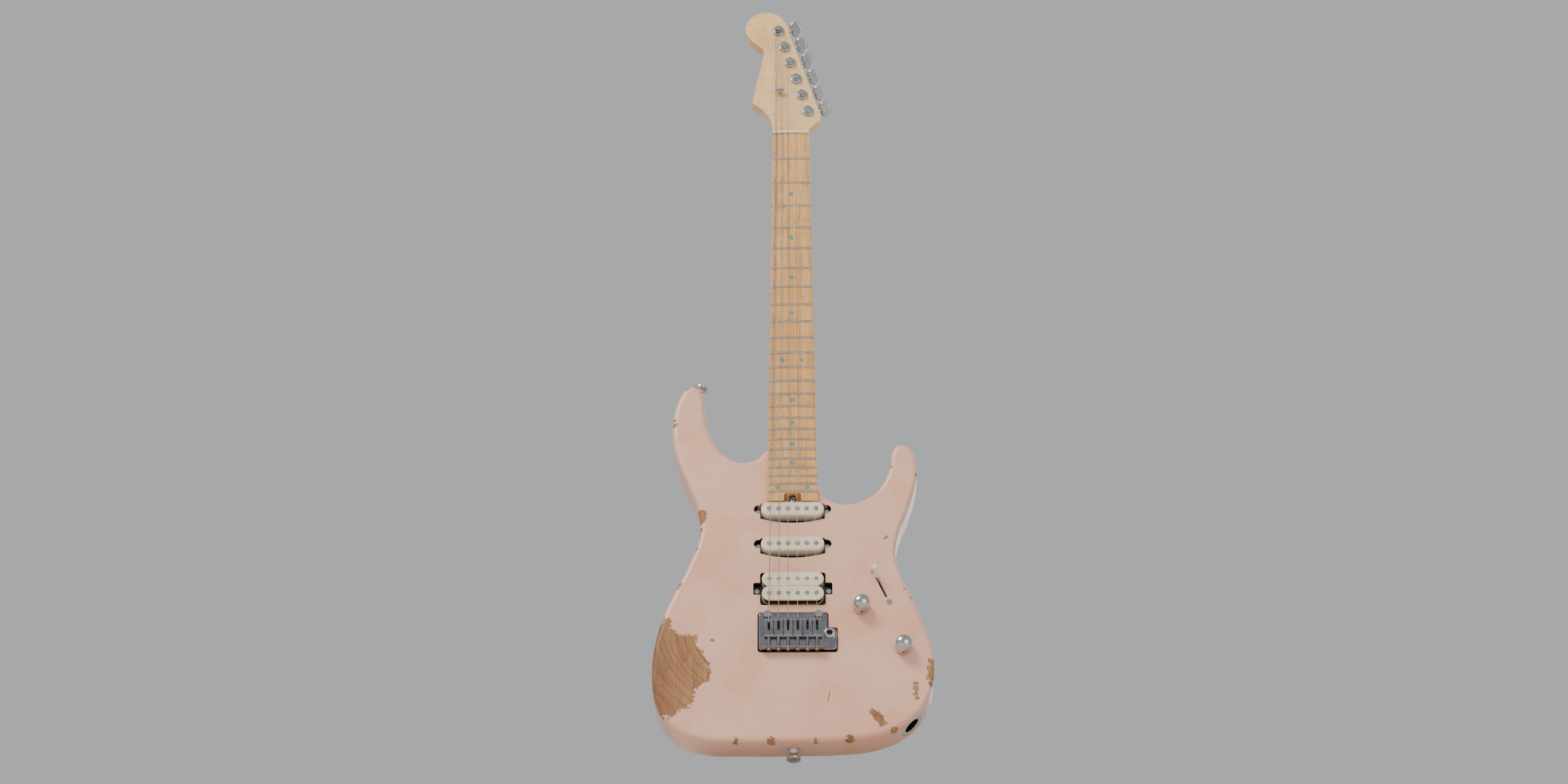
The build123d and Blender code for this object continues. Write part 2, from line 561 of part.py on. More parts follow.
# ---- body ----
with BuildPart() as body:
    with BuildSketch(facing(0)):
        with BuildLine():
            arc_outline(BODY_OUTLINE)
        make_face()
    extrude(amount=-BODY_THICKNESS)
    fillet(body.faces().filter_by(Axis.Y).edges(), EDGE_RADIUS)
    # tummy contour in the back, a shallow dish cut by a large ball
    with Locations(spot(*TUMMY_PLACE, BODY_THICKNESS - TUMMY_CUT + TUMMY_RADIUS)):
        Sphere(TUMMY_RADIUS, mode=Mode.SUBTRACT)
    # neck pocket
    with BuildSketch(facing(POCKET_DEPTH)):
        with BuildLine():
            Polyline(
                *neck_corners(POCKET_START), *reversed(neck_corners(BOARD_END)), close=True,
            )
        make_face()
    extrude(amount=POCKET_DEPTH, mode=Mode.SUBTRACT)
    # single-coil routes: a slot with round ears, bellied towards the bridge
    for centre in SINGLE_COIL_CENTRES:
        with BuildSketch(facing(COIL_ROUTE_DEPTH)):
            with Locations(front(0, centre - EAR_SHIFT)):
                SlotOverall(2 * PICKUP_EAR_REACH, COIL_EAR_WIDTH)
            with BuildLine():
                side = Polyline(
                    front(-COIL_ROUTE_HALF, centre + COIL_ROUTE_LOW),
                    front(-COIL_ROUTE_HALF, centre - COIL_ROUTE_HIGH),
                    front(COIL_ROUTE_HALF, centre - COIL_ROUTE_HIGH),
                    front(COIL_ROUTE_HALF, centre + COIL_ROUTE_LOW),
                )
                ThreePointArc(side @ 1, front(0, centre + COIL_ROUTE_BELLY), side @ 0)
            make_face()
        extrude(amount=COIL_ROUTE_DEPTH, mode=Mode.SUBTRACT)
    # humbucker route with square ears
    with BuildSketch(facing(HUMBUCKER_ROUTE_DEPTH)):
        with Locations(front(0, HUMBUCKER_CENTRE + 0.3)):
            RectangleRounded(*HUMBUCKER_ROUTE)
        with Locations(front(0, HUMBUCKER_CENTRE)):
            RectangleRounded(*HUMBUCKER_EARS)
    extrude(amount=HUMBUCKER_ROUTE_DEPTH, mode=Mode.SUBTRACT)
    # tremolo recess, with its corner for the arm
    with BuildSketch(facing(RECESS_DEPTH)):
        with Locations(front(*RECESS_PLACE)):
            RectangleRounded(*RECESS)
        with Locations(front(*ARM_RECESS_PLACE)):
            RectangleRounded(*ARM_RECESS)
    extrude(amount=RECESS_DEPTH, mode=Mode.SUBTRACT)
    with BuildSketch(facing(ARM_WELL_DEPTH)):
        with Locations(front(*ARM_WELL_PLACE)):
            RectangleRounded(*ARM_WELL)
    extrude(amount=ARM_WELL_DEPTH - RECESS_DEPTH + 0.5, mode=Mode.SUBTRACT)
    # block route right through, then the spring cavity and its cover's step in the back
    with BuildSketch(facing(BODY_THICKNESS)):
        with Locations(front(*BLOCK_ROUTE_PLACE)):
            RectangleRounded(*BLOCK_ROUTE)
    extrude(amount=BODY_THICKNESS, mode=Mode.SUBTRACT)
    with BuildSketch(facing(BODY_THICKNESS)):
        with Locations(front(*SPRING_CAVITY_PLACE)):
            RectangleRounded(*SPRING_CAVITY)
    extrude(amount=SPRING_CAVITY_DEPTH, mode=Mode.SUBTRACT)
    with BuildSketch(facing(BODY_THICKNESS)):
        with Locations(front(*SPRING_CAVITY_PLACE)):
            RectangleRounded(*SPRING_COVER_SEAT)
    extrude(amount=COVER_THICKNESS, mode=Mode.SUBTRACT)
    # control cavity and its cover's step
    with BuildSketch(facing(BODY_THICKNESS)):
        with BuildLine():
            arc_outline(CONTROL_OUTLINE)
        make_face()
    extrude(amount=BODY_THICKNESS - TOP_OVER_CONTROLS, mode=Mode.SUBTRACT)
    with BuildSketch(facing(BODY_THICKNESS)):
        with BuildLine():
            arc_outline(CONTROL_OUTLINE)
        make_face()
        offset(amount=COVER_LEDGE)
    extrude(amount=COVER_THICKNESS, mode=Mode.SUBTRACT)
    # holes for the pots, the blade switch and its two screws
    with Locations(facing(0)):
        with Locations(front(*VOLUME_PLACE), front(*TONE_PLACE)):
            Cylinder(POT_HOLE_RADIUS, 30, mode=Mode.SUBTRACT)
    with BuildSketch(facing(0)):
        with Locations(front(*SWITCH_PLACE)):
            SlotOverall(SWITCH_SLOT_LENGTH, SWITCH_SLOT_WIDTH, rotation=90 + SWITCH_TILT)
            with PolarLocations(SWITCH_SCREW_SPACING / 2, 2, start_angle=90 + SWITCH_TILT):
                Circle(SWITCH_SCREW_RADIUS)
    extrude(amount=-TOP_OVER_CONTROLS - 2, mode=Mode.SUBTRACT)
    # wire ways between the routes, square to the faces they leave
    with BuildSketch(Plane.YZ.offset(CONTROL_WIRE_START)):
        with Locations((depth_y(CONTROL_WIRE_DEPTH), front(0, CONTROL_WIRE_DISTANCE)[1])):
            Circle(WIRE_WAY_RADIUS)
    extrude(amount=CONTROL_WIRE_LENGTH, mode=Mode.SUBTRACT)
    with BuildSketch(across(PICKUP_WIRE_START)):
        with Locations((PICKUP_WIRE_X, depth_y(PICKUP_WIRE_DEPTH))):
            Circle(WIRE_WAY_RADIUS)
    extrude(amount=PICKUP_WIRE_LENGTH, mode=Mode.SUBTRACT)
    # tremolo posts' inserts
    with Locations(facing(0)):
        with Locations(front(-POST_X, POST_DISTANCE), front(POST_X, POST_DISTANCE)):
            Cylinder(INSERT_RADIUS, 2 * INSERT_FOOT, mode=Mode.SUBTRACT)
    # jack bore from the side, with a flat for its flange
    with BuildSketch(jack_plane(JACK_FLAT - JACK_HOLE_DEPTH)):
        Circle(JACK_CUP_RADIUS)
    extrude(amount=JACK_HOLE_DEPTH + 8, mode=Mode.SUBTRACT)
    with BuildSketch(jack_plane(0)):
        Circle(JACK_FLANGE_RADIUS + 0.3)
    extrude(amount=10, mode=Mode.SUBTRACT)
    # flats and screw holes for the strap buttons
    for place, direction, sink in BUTTON_SEATS:
        seat = spot(*place, MID_DEPTH)
        with BuildSketch(Plane(origin=seat - direction * sink, z_dir=direction)):
            Circle(BUTTON_SEAT_RADIUS)
        extrude(amount=6, mode=Mode.SUBTRACT)
        with BuildSketch(Plane(origin=seat, z_dir=-direction)):
            Circle(BUTTON_SCREW_RADIUS)
        extrude(amount=BUTTON_SCREW_HOLE, mode=Mode.SUBTRACT)
    # neck bolts and their ferrules
    with Locations(facing(BODY_THICKNESS)):
        with Locations(*[front(*place) for place in NECK_SCREW_PLACES]):
            Cylinder(NECK_SCREW_RADIUS, 60, mode=Mode.SUBTRACT)
            Cylinder(FERRULE_RADIUS, 2 * FERRULE_LENGTH, mode=Mode.SUBTRACT)
    # cover, claw and pickup screw holes
    with BuildSketch(facing(BODY_THICKNESS)):
        with Locations(*[front(*place) for place in (*SPRING_COVER_SCREWS, *CONTROL_COVER_SCREWS)]):
            Circle(SCREW_RADIUS)
    extrude(amount=COVER_SCREW_LENGTH + 1, mode=Mode.SUBTRACT)
    with BuildSketch(across(CLAW_HOLE_START)):
        with Locations((-CLAW_SCREW_X, depth_y(CLAW_DEPTH)), (CLAW_SCREW_X, depth_y(CLAW_DEPTH))):
            Circle(CLAW_SCREW_RADIUS)
    extrude(amount=CLAW_HOLE_START - CLAW_SCREW_END, mode=Mode.SUBTRACT)
    with BuildSketch(facing(PICKUP_HOLE_START)):
        with Locations(*[front(*place) for place in PICKUP_SCREW_PLACES]):
            Circle(SCREW_RADIUS)
    extrude(amount=PICKUP_HOLE_START - PICKUP_HOLE_END, mode=Mode.SUBTRACT)

save(body, "body")

# ---- back covers ----
with BuildPart() as spring_cover:
    with BuildSketch(facing(BODY_THICKNESS)):
        with Locations(front(*SPRING_CAVITY_PLACE)):
            RectangleRounded(*SPRING_COVER)
        with Locations(front(0, STRING_WELL_DISTANCE - 1.6)):
            SlotOverall(*STRING_SLOT, mode=Mode.SUBTRACT)
    extrude(amount=COVER_THICKNESS)
    with Locations(facing(BODY_THICKNESS)):
        with Locations(*[front(*place) for place in SPRING_COVER_SCREWS]):
            Cone(COVER_SCREW_HEAD, SCREW_RADIUS, COVER_SCREW_SINK, align=CENTRE_UP, mode=Mode.SUBTRACT)
            Cylinder(SCREW_RADIUS, 10, mode=Mode.SUBTRACT)
save(spring_cover, "spring_cover")

with BuildPart() as control_cover:
    with BuildSketch(facing(BODY_THICKNESS)):
        with BuildLine():
            arc_outline(CONTROL_OUTLINE)
        make_face()
        offset(amount=COVER_LEDGE - COVER_GAP)
    extrude(amount=COVER_THICKNESS)
    with Locations(facing(BODY_THICKNESS)):
        with Locations(*[front(*place) for place in CONTROL_COVER_SCREWS]):
            Cone(COVER_SCREW_HEAD, SCREW_RADIUS, COVER_SCREW_SINK, align=CENTRE_UP, mode=Mode.SUBTRACT)
            Cylinder(SCREW_RADIUS, 10, mode=Mode.SUBTRACT)
save(control_cover, "control_cover")

with BuildPart() as cover_screws:
    with Locations(facing(BODY_THICKNESS)):
        with Locations(*[front(*place) for place in (*SPRING_COVER_SCREWS, *CONTROL_COVER_SCREWS)]):
            add(countersunk_screw(SCREW_RADIUS, COVER_SCREW_LENGTH, COVER_SCREW_HEAD, COVER_SCREW_SINK))
save(cover_screws, "cover_screws")

# ---- neck ----
with BuildPart() as neck:
    # the shaft's back, from the headstock to the squarer heel
    for distance, thickness, fullness in NECK_SECTIONS:
        half = neck_half_width(distance)
        glue = depth_y(GLUE_DEPTH)
        with BuildSketch(across(distance)):
            with BuildLine():
                back = Spline(
                    (-half, glue), (-half * fullness, glue + thickness * (0.45 + fullness * 0.3)),
                    (0, glue + thickness), (half * fullness, glue + thickness * (0.45 + fullness * 0.3)),
                    (half, glue), tangents=((0, 1), (0, -1)),
                )
                Line(back @ 1, back @ 0)
            make_face()
    loft(ruled=True)
    # heel block, filling the pocket
    with BuildSketch(facing(POCKET_DEPTH)):
        with BuildLine():
            Polyline(
                *neck_corners(HEEL_START), *reversed(neck_corners(BOARD_END)), close=True,
            )
        make_face()
    extrude(amount=POCKET_DEPTH - GLUE_DEPTH)
    # the heel's back is flat where it meets the pocket's floor
    with BuildSketch(across(HEEL_FLAT_START)):
        with Locations((0, depth_y(POCKET_DEPTH) + 10)):
            Rectangle(80, 20)
    extrude(amount=HEEL_FLAT_START - BOARD_END, mode=Mode.SUBTRACT)
    # headstock blade
    with BuildSketch(facing(HEADSTOCK_BACK)):
        with BuildLine():
            Spline(*[front(x, distance) for x, distance in HEADSTOCK_OUTLINE])
            Spline(*[front(x, distance) for x, distance in HEADSTOCK_LEFT])
            Spline(*[front(x, distance) for x, distance in HEADSTOCK_TIP])
            Line(*[front(x, distance) for x, distance in HEADSTOCK_RIGHT])
            Spline(*[front(x, distance) for x, distance in HEADSTOCK_CORNER])
            Line(front(*HEADSTOCK_CORNER[-1]), front(*HEADSTOCK_OUTLINE[0]))
        make_face()
    extrude(amount=HEADSTOCK_THICKNESS + HEADSTOCK_DEPTH - NUT_SEAT_DEPTH + SHELF_RISE)
    # the blade is thinned in front up to a scoop behind the nut, and its foot is cleared under the neck
    with BuildSketch(Plane.YZ.offset(-70)):
        with BuildLine():
            start = side_view(NUT_SEAT_DEPTH - 5, -SHELF_LENGTH)
            step = Line(start, side_view(NUT_SEAT_DEPTH - SHELF_RISE, -SHELF_LENGTH))
            scoop = ThreePointArc(
                step @ 1, side_view(HEADSTOCK_DEPTH - 1.6, -11.2), side_view(HEADSTOCK_DEPTH, -SCOOP_LENGTH)
            )
            Polyline(scoop @ 1, side_view(HEADSTOCK_DEPTH, -200), side_view(NUT_SEAT_DEPTH - 5, -200), start)
        make_face()
    extrude(amount=140, mode=Mode.SUBTRACT)
    with BuildSketch(Plane.YZ.offset(-70)):
        with BuildLine():
            low = side_view(GLUE_DEPTH + 13, 9)
            foot = ThreePointArc(low, side_view(GLUE_DEPTH + 14.4, -10), side_view(HEADSTOCK_BACK, -27))
            Polyline(foot @ 1, side_view(30, -27), side_view(30, 9), low)
        make_face()
    extrude(amount=140, mode=Mode.SUBTRACT)
    # nut seat, level with the glue line, and nothing of the shaft in front of it
    with BuildSketch(across(-NUT_THICKNESS)):
        with Locations((0, depth_y(NUT_SEAT_DEPTH) - 5)):
            Rectangle(60, 10)
    extrude(amount=-20, mode=Mode.SUBTRACT)
    with BuildSketch(across(0)):
        with Locations((0, depth_y(GLUE_DEPTH) - 5)):
            Rectangle(60, 10)
    extrude(amount=-20, mode=Mode.SUBTRACT)
    # truss rod channel, and the notch that shows its wheel
    with BuildSketch(facing(GLUE_DEPTH)):
        with Locations(front(0, (TRUSS_CHANNEL_START + WHEEL_NOTCH_TOP + 0.8) / 2)):
            Rectangle(TRUSS_ROD_WIDTH, WHEEL_NOTCH_TOP + 0.8 - TRUSS_CHANNEL_START)
        with Locations(front(0, WHEEL_NOTCH_TOP + WHEEL_NOTCH[1] / 2)):
            RectangleRounded(*WHEEL_NOTCH)
    extrude(amount=-TRUSS_CHANNEL_DEPTH, mode=Mode.SUBTRACT)
    # bolt holes in the heel
    with BuildSketch(facing(POCKET_DEPTH)):
        with Locations(*[front(*place) for place in NECK_SCREW_PLACES]):
            Circle(NECK_SCREW_RADIUS)
    extrude(amount=NECK_HOLE_DEPTH, mode=Mode.SUBTRACT)
    # tuner, tuner screw and string tree holes
    with Locations(facing(HEADSTOCK_DEPTH)):
        with Locations(*[front(*place) for place in POST_PLACES]):
            Cylinder(BUSHING_RADIUS, 60, mode=Mode.SUBTRACT)
        with Locations(front(*TREE_PLACE)):
            Cylinder(SMALL_SCREW_RADIUS, 18, mode=Mode.SUBTRACT)
    with BuildSketch(facing(HEADSTOCK_BACK)):
        with Locations(*[front(*tuner_place(number, *TUNER_SCREW_PLACE)) for number in range(6)]):
            Circle(SMALL_SCREW_RADIUS)
    extrude(amount=TUNER_SCREW_HOLE, mode=Mode.SUBTRACT)
save(neck, "neck")

# ---- fingerboard ----
FINGERBOARD_AXIS_Y = depth_y(BOARD_TOP_DEPTH) + BOARD_RADIUS


def between_frets(number):
    """The middle of the space behind a fret."""
    return (fret_distance(number - 1) + fret_distance(number)) / 2


DOT_PLACES = [(0, between_frets(number)) for number in DOT_FRETS]
DOT_PLACES += [
    (side * x, between_frets(number)) for number, x in ((12, 11.0), (24, 16.3)) for side in (-1, 1)
]
SIDE_DOT_PLACES = [between_frets(number) for number in DOT_FRETS]
SIDE_DOT_PLACES += [between_frets(number) + shift for number in (12, 24) for shift in (-3, 3)]


def fret_tang(distance, half, radius):
    """A flat-bottomed bar under a fret, as far up as a radius about the fingerboard's axis."""
    with BuildPart() as bar:
        with BuildSketch(Plane.XY.offset(front(0, distance)[1] - FRET_TANG_WIDTH / 2)):
            with Locations((0, depth_y(FRET_TANG_FLOOR) - 5)):
                Rectangle(2 * half, 10)
            with Locations((0, FINGERBOARD_AXIS_Y)):
                Circle(radius, mode=Mode.INTERSECT)
        extrude(amount=FRET_TANG_WIDTH)
    return bar.part


def fret_crown(distance, half):
    """A rounded bar on the fingerboard's curved top."""
    with BuildPart() as bar:
        with BuildSketch(Plane.XY.offset(front(0, distance)[1] - FRET_WIDTH / 2)):
            with Locations((0, FINGERBOARD_AXIS_Y)):
                Circle(BOARD_RADIUS + FRET_HEIGHT)
                Circle(BOARD_RADIUS, mode=Mode.SUBTRACT)
            with Locations((0, FINGERBOARD_AXIS_Y - BOARD_RADIUS)):
                Rectangle(2 * half, 20, mode=Mode.INTERSECT)
        extrude(amount=FRET_WIDTH)
        top_edges = bar.edges().filter_by(GeomType.CIRCLE).filter_by(
            lambda edge: edge.radius > BOARD_RADIUS + FRET_HEIGHT / 2
        )
        fillet(top_edges, FRET_HEIGHT * 0.8)
    return bar.part


with BuildPart() as fingerboard:
    with BuildSketch(facing(GLUE_DEPTH)):
        with BuildLine():
            Polyline(
                *neck_corners(0), *reversed(neck_corners(BOARD_END)), close=True,
            )
        make_face()
    extrude(amount=BOARD_THICKNESS)
    with Locations((0, FINGERBOARD_AXIS_Y, NUT_Z - BOARD_END / 2)):
        Cylinder(BOARD_RADIUS, BOARD_END + 10, mode=Mode.INTERSECT)
    # slots for the frets' tangs
    for number in range(1, FRET_COUNT + 1):
        add(fret_tang(fret_distance(number), BOARD_END_WIDTH, BOARD_RADIUS + 5), mode=Mode.SUBTRACT)
    # seats for the dots, and the notch for the truss rod wheel
    with BuildSketch(facing(BOARD_TOP_DEPTH + DOT_DEPTH)):
        with Locations(*[front(*place) for place in DOT_PLACES]):
            Circle(DOT_RADIUS)
    extrude(amount=5, mode=Mode.SUBTRACT)
    for distance in SIDE_DOT_PLACES:
        edge = spot(-neck_half_width(distance), distance, SIDE_DOT_DEPTH)
        with BuildSketch(Plane(origin=edge, z_dir=(1, 0, 0))):
            Circle(SIDE_DOT_RADIUS)
        extrude(amount=SIDE_DOT_LENGTH, mode=Mode.SUBTRACT)
    with BuildSketch(facing(GLUE_DEPTH)):
        with Locations(front(0, WHEEL_NOTCH_TOP + WHEEL_NOTCH[1] / 2)):
            RectangleRounded(*WHEEL_NOTCH)
    extrude(amount=BOARD_THICKNESS + 1, mode=Mode.SUBTRACT)
save(fingerboard, "fingerboard")

with BuildPart() as frets:
    for number in range(1, FRET_COUNT + 1):
        distance = fret_distance(number)
        half = neck_half_width(distance) - FRET_END_INSET
        with BuildPart(mode=Mode.PRIVATE) as fret:
            add(fret_crown(distance, half))
            add(fret_tang(distance, half, BOARD_RADIUS + 0.1))
        add(fret.part)
save(frets, "frets")

with BuildPart() as inlays:
    with BuildSketch(facing(BOARD_TOP_DEPTH + DOT_DEPTH)):
        with Locations(*[front(*place) for place in DOT_PLACES]):
            Circle(DOT_RADIUS)
    extrude(amount=5)
    with Locations((0, FINGERBOARD_AXIS_Y, NUT_Z - BOARD_END / 2)):
        Cylinder(BOARD_RADIUS, BOARD_END + 10, mode=Mode.INTERSECT)
    for distance in SIDE_DOT_PLACES:
        edge = spot(-neck_half_width(distance), distance, SIDE_DOT_DEPTH)
        with BuildSketch(Plane(origin=edge, z_dir=(1, 0, 0))):
            Circle(SIDE_DOT_RADIUS)
        extrude(amount=SIDE_DOT_LENGTH)
save(inlays, "inlays")

# ---- string paths ----
def nut_x(string):
    """Where a string crosses the nut, counted from the lowest string."""
    return (string - 2.5) * NUT_STRING_PITCH


def saddle_x(string):
    """Where a string crosses its saddle."""
    return (string - 2.5) * SADDLE_PITCH


def crown_drop(x):
    """How much lower the fret plane lies at x than at the middle."""
    return x * x / (2 * BOARD_RADIUS)


def underside_at_nut(string):
    """Depth of a string's lower side at the nut."""
    return FRET_TOP_DEPTH - ACTION_AT_NUT + crown_drop(nut_x(string))


def underside_at_saddle(string):
    """Depth of a string's lower side over its saddle."""
    return FRET_TOP_DEPTH - ACTION_AT_SADDLE + crown_drop(saddle_x(string))


def speaking_axis(string, distance):
    """A point on a speaking string's middle line."""
    share = distance / SCALE_LENGTH
    x = nut_x(string) + (saddle_x(string) - nut_x(string)) * share
    low = underside_at_nut(string) + (underside_at_saddle(string) - underside_at_nut(string)) * share
    return spot(x, distance, low - STRING_DIAMETERS[string] / 2)


def behind_nut_run(string):
    """The stops of a string from the nut to its tuner post, the last one beside the post."""
    radius = STRING_DIAMETERS[string] / 2
    post_x, post_distance = POST_PLACES[string]
    wound_x = post_x - POST_WAIST_RADIUS - radius - 0.05
    stops = [speaking_axis(string, 0)]
    if string < 2:
        share = -TREE_PLACE[1] / -post_distance
        x = nut_x(string) + (wound_x - nut_x(string)) * share
        stops.append(spot(x, TREE_PLACE[1], TREE_UNDERSIDE_DEPTH + radius + 0.3))
    stops.append(spot(wound_x, post_distance, WINDING_DEPTH))
    return stops


# ---- nut ----
NUT_TOP_DEPTH = underside_at_nut(0) - STRING_SLOT_DEPTH

with BuildPart() as nut:
    with BuildSketch(across(0)):
        with BuildLine():
            edges = Polyline(
                (-NUT_WIDTH / 2, depth_y(NUT_TOP_DEPTH + 0.9)), (-NUT_WIDTH / 2, depth_y(NUT_SEAT_DEPTH)),
                (NUT_WIDTH / 2, depth_y(NUT_SEAT_DEPTH)), (NUT_WIDTH / 2, depth_y(NUT_TOP_DEPTH + 0.9)),
            )
            ThreePointArc(edges @ 1, (0, depth_y(NUT_TOP_DEPTH)), edges @ 0)
        make_face()
    extrude(amount=NUT_THICKNESS)
    fillet(nut.edges().group_by(Axis.Z)[-1].sort_by(Axis.Y)[0], 0.9)
    for string, diameter in enumerate(STRING_DIAMETERS):
        first, second = behind_nut_run(string)[:2]
        lead = (second - first).normalized()
        slot_plane = Plane(origin=first - lead * 2, x_dir=(1, 0, 0), z_dir=lead)
        with BuildSketch(slot_plane):
            Circle(diameter / 2 + 0.03)
            with Locations((0, 3)):
                Rectangle(diameter + 0.06, 6)
        extrude(amount=10, mode=Mode.SUBTRACT)
save(nut, "nut")

# ---- strings ----
with BuildPart() as headstock_strings:
    for string, diameter in enumerate(STRING_DIAMETERS):
        stops = behind_nut_run(string)
        with BuildLine(mode=Mode.PRIVATE) as run:
            if len(stops) == 3:
                FilletPolyline(*stops, radius=6)
            else:
                Line(*stops)
        with BuildSketch(Plane(origin=stops[0], z_dir=stops[1] - stops[0])):
            Circle(diameter / 2)
        sweep(path=run.wires()[0])
save(headstock_strings, "headstock_strings")

with BuildPart() as speaking_strings:
    for string, diameter in enumerate(STRING_DIAMETERS):
        add(
            rod(
                speaking_axis(string, 0.15),
                speaking_axis(string, SCALE_LENGTH + SADDLE_SETBACK[string] + 1.0),
                diameter / 2,
            )
        )
save(speaking_strings, "speaking_strings")

# ---- truss rod ----
with BuildPart() as truss_rod:
    with BuildSketch(across(TRUSS_ROD_START)):
        with Locations((0, depth_y(WHEEL_DEPTH))):
            Rectangle(TRUSS_ROD_WIDTH, TRUSS_ROD_HEIGHT)
    extrude(amount=TRUSS_ROD_START - TRUSS_ROD_END)
    with BuildSketch(across(TRUSS_ROD_END)):
        with Locations((0, depth_y(WHEEL_DEPTH))):
            Circle(ROD_STUB_RADIUS)
    extrude(amount=-ROD_STUB_LENGTH)
save(truss_rod, "truss_rod")

with BuildPart() as truss_rod_wheel:
    with BuildSketch(across(WHEEL_TOP)):
        with Locations((0, depth_y(WHEEL_DEPTH))):
            Circle(WHEEL_RADIUS)
            Circle(ROD_STUB_RADIUS + 0.04, mode=Mode.SUBTRACT)
    extrude(amount=-WHEEL_LENGTH)
    with Locations(spot(0, WHEEL_TOP + WHEEL_LENGTH / 2, WHEEL_DEPTH)):
        for turn in range(0, 180, 60):
            Cylinder(WHEEL_HOLE_RADIUS, 12, rotation=(90, 0, turn), mode=Mode.SUBTRACT)
save(truss_rod_wheel, "truss_rod_wheel")

# ---- neck bolts ----
with BuildPart() as neck_screws:
    with Locations(facing(BODY_THICKNESS)):
        with Locations(*[front(*place) for place in NECK_SCREW_PLACES]):
            with Locations((0, 0, NECK_SCREW_SINK)):
                add(
                    countersunk_screw(
                        NECK_SCREW_RADIUS, NECK_SCREW_LENGTH, NECK_SCREW_HEAD, NECK_HEAD_HEIGHT
                    )
                )
save(neck_screws, "neck_screws")

with BuildPart() as neck_ferrules:
    with Locations(facing(BODY_THICKNESS)):
        with Locations(*[front(*place) for place in NECK_SCREW_PLACES]):
            Cylinder(FERRULE_RADIUS, FERRULE_LENGTH, align=CENTRE_UP)
            with Locations((0, 0, NECK_SCREW_SINK)):
                Cone(
                    NECK_SCREW_HEAD, NECK_SCREW_RADIUS, NECK_HEAD_HEIGHT,
                    align=CENTRE_UP, mode=Mode.SUBTRACT,
                )
            Cylinder(NECK_SCREW_HEAD, 2 * NECK_SCREW_SINK, mode=Mode.SUBTRACT)
            Cylinder(NECK_SCREW_RADIUS, 20, mode=Mode.SUBTRACT)
    rims = neck_ferrules.edges().group_by(Axis.Y)[-1]
    outer_rims = rims.filter_by(lambda edge: edge.radius > NECK_SCREW_HEAD + 1)
    chamfer(outer_rims, 0.4)
save(neck_ferrules, "neck_ferrules")

# ---- tuners ----
KEY_DIRECTION = Vector(math.cos(math.radians(KEY_TILT)), 0, math.sin(math.radians(KEY_TILT)))


def key_plane(number, outward):
    """A plane square to a tuner's key, its normal pointing out of the headstock."""
    x, distance = tuner_place(number, outward, WORM_OFFSET)
    return Plane(origin=spot(x, distance, KEY_DEPTH), x_dir=(0, 1, 0), z_dir=KEY_DIRECTION)


with BuildPart() as tuner_housings:
    for number in range(6):
        with BuildPart(mode=Mode.PRIVATE) as housing:
            with BuildSketch(facing(HEADSTOCK_BACK)):
                with Locations(front(*tuner_place(number, *HOUSING_PLACE))):
                    RectangleRounded(*HOUSING, rotation=KEY_TILT)
            extrude(amount=-HOUSING_HEIGHT)
            fillet(housing.faces().sort_by(Axis.Y)[-1].edges(), HOUSING_EDGE)
            # gear room, post hole, worm room and key hole
            with BuildSketch(facing(POST_FOOT_DEPTH + GEAR_END_GAP)):
                with Locations(front(*POST_PLACES[number])):
                    Circle(GEAR_RADIUS + GEAR_GAP)
            extrude(amount=GEAR_HEIGHT + 2 * GEAR_END_GAP, mode=Mode.SUBTRACT)
            with BuildSketch(facing(POST_FOOT_DEPTH)):
                with Locations(front(*POST_PLACES[number])):
                    Circle(POST_RADIUS + RUNNING_GAP)
            extrude(amount=HOUSING_HEIGHT, mode=Mode.SUBTRACT)
            with BuildSketch(key_plane(number, -WORM_HALF_LENGTH - GEAR_END_GAP)):
                Circle(WORM_RADIUS + GEAR_GAP)
            extrude(amount=2 * (WORM_HALF_LENGTH + GEAR_END_GAP), mode=Mode.SUBTRACT)
            with BuildSketch(key_plane(number, 0)):
                Circle(SHAFT_RADIUS + RUNNING_GAP)
            extrude(amount=20, mode=Mode.SUBTRACT)
            # screw hole with a sunk head
            with Locations(facing(HOUSING_BACK)):
                with Locations(front(*tuner_place(number, *TUNER_SCREW_PLACE))):
                    Cylinder(SMALL_SCREW_RADIUS, 30, mode=Mode.SUBTRACT)
                    Cylinder(SMALL_HEAD_RADIUS + 0.1, 2 * SMALL_HEAD_SEAT, mode=Mode.SUBTRACT)
        add(housing.part)
save(tuner_housings, "tuner_housings")

with BuildPart() as tuner_bushings:
    with Locations(facing(HEADSTOCK_DEPTH)):
        with Locations(*[front(*place) for place in POST_PLACES]):
            Cylinder(BUSHING_RADIUS, BUSHING_LENGTH, align=CENTRE_DOWN)
            Cylinder(WASHER_RADIUS, WASHER_HEIGHT, align=CENTRE_UP)
            with Locations((0, 0, WASHER_HEIGHT)):
                Cylinder(BUSHING_HEAD_RADIUS, BUSHING_HEAD_HEIGHT, align=CENTRE_UP)
    fillet(tuner_bushings.edges().group_by(Axis.Y)[0], 0.9)
    with Locations(facing(HEADSTOCK_DEPTH)):
        with Locations(*[front(*place) for place in POST_PLACES]):
            Cylinder(POST_RADIUS + RUNNING_GAP, 40, mode=Mode.SUBTRACT)
save(tuner_bushings, "tuner_bushings")

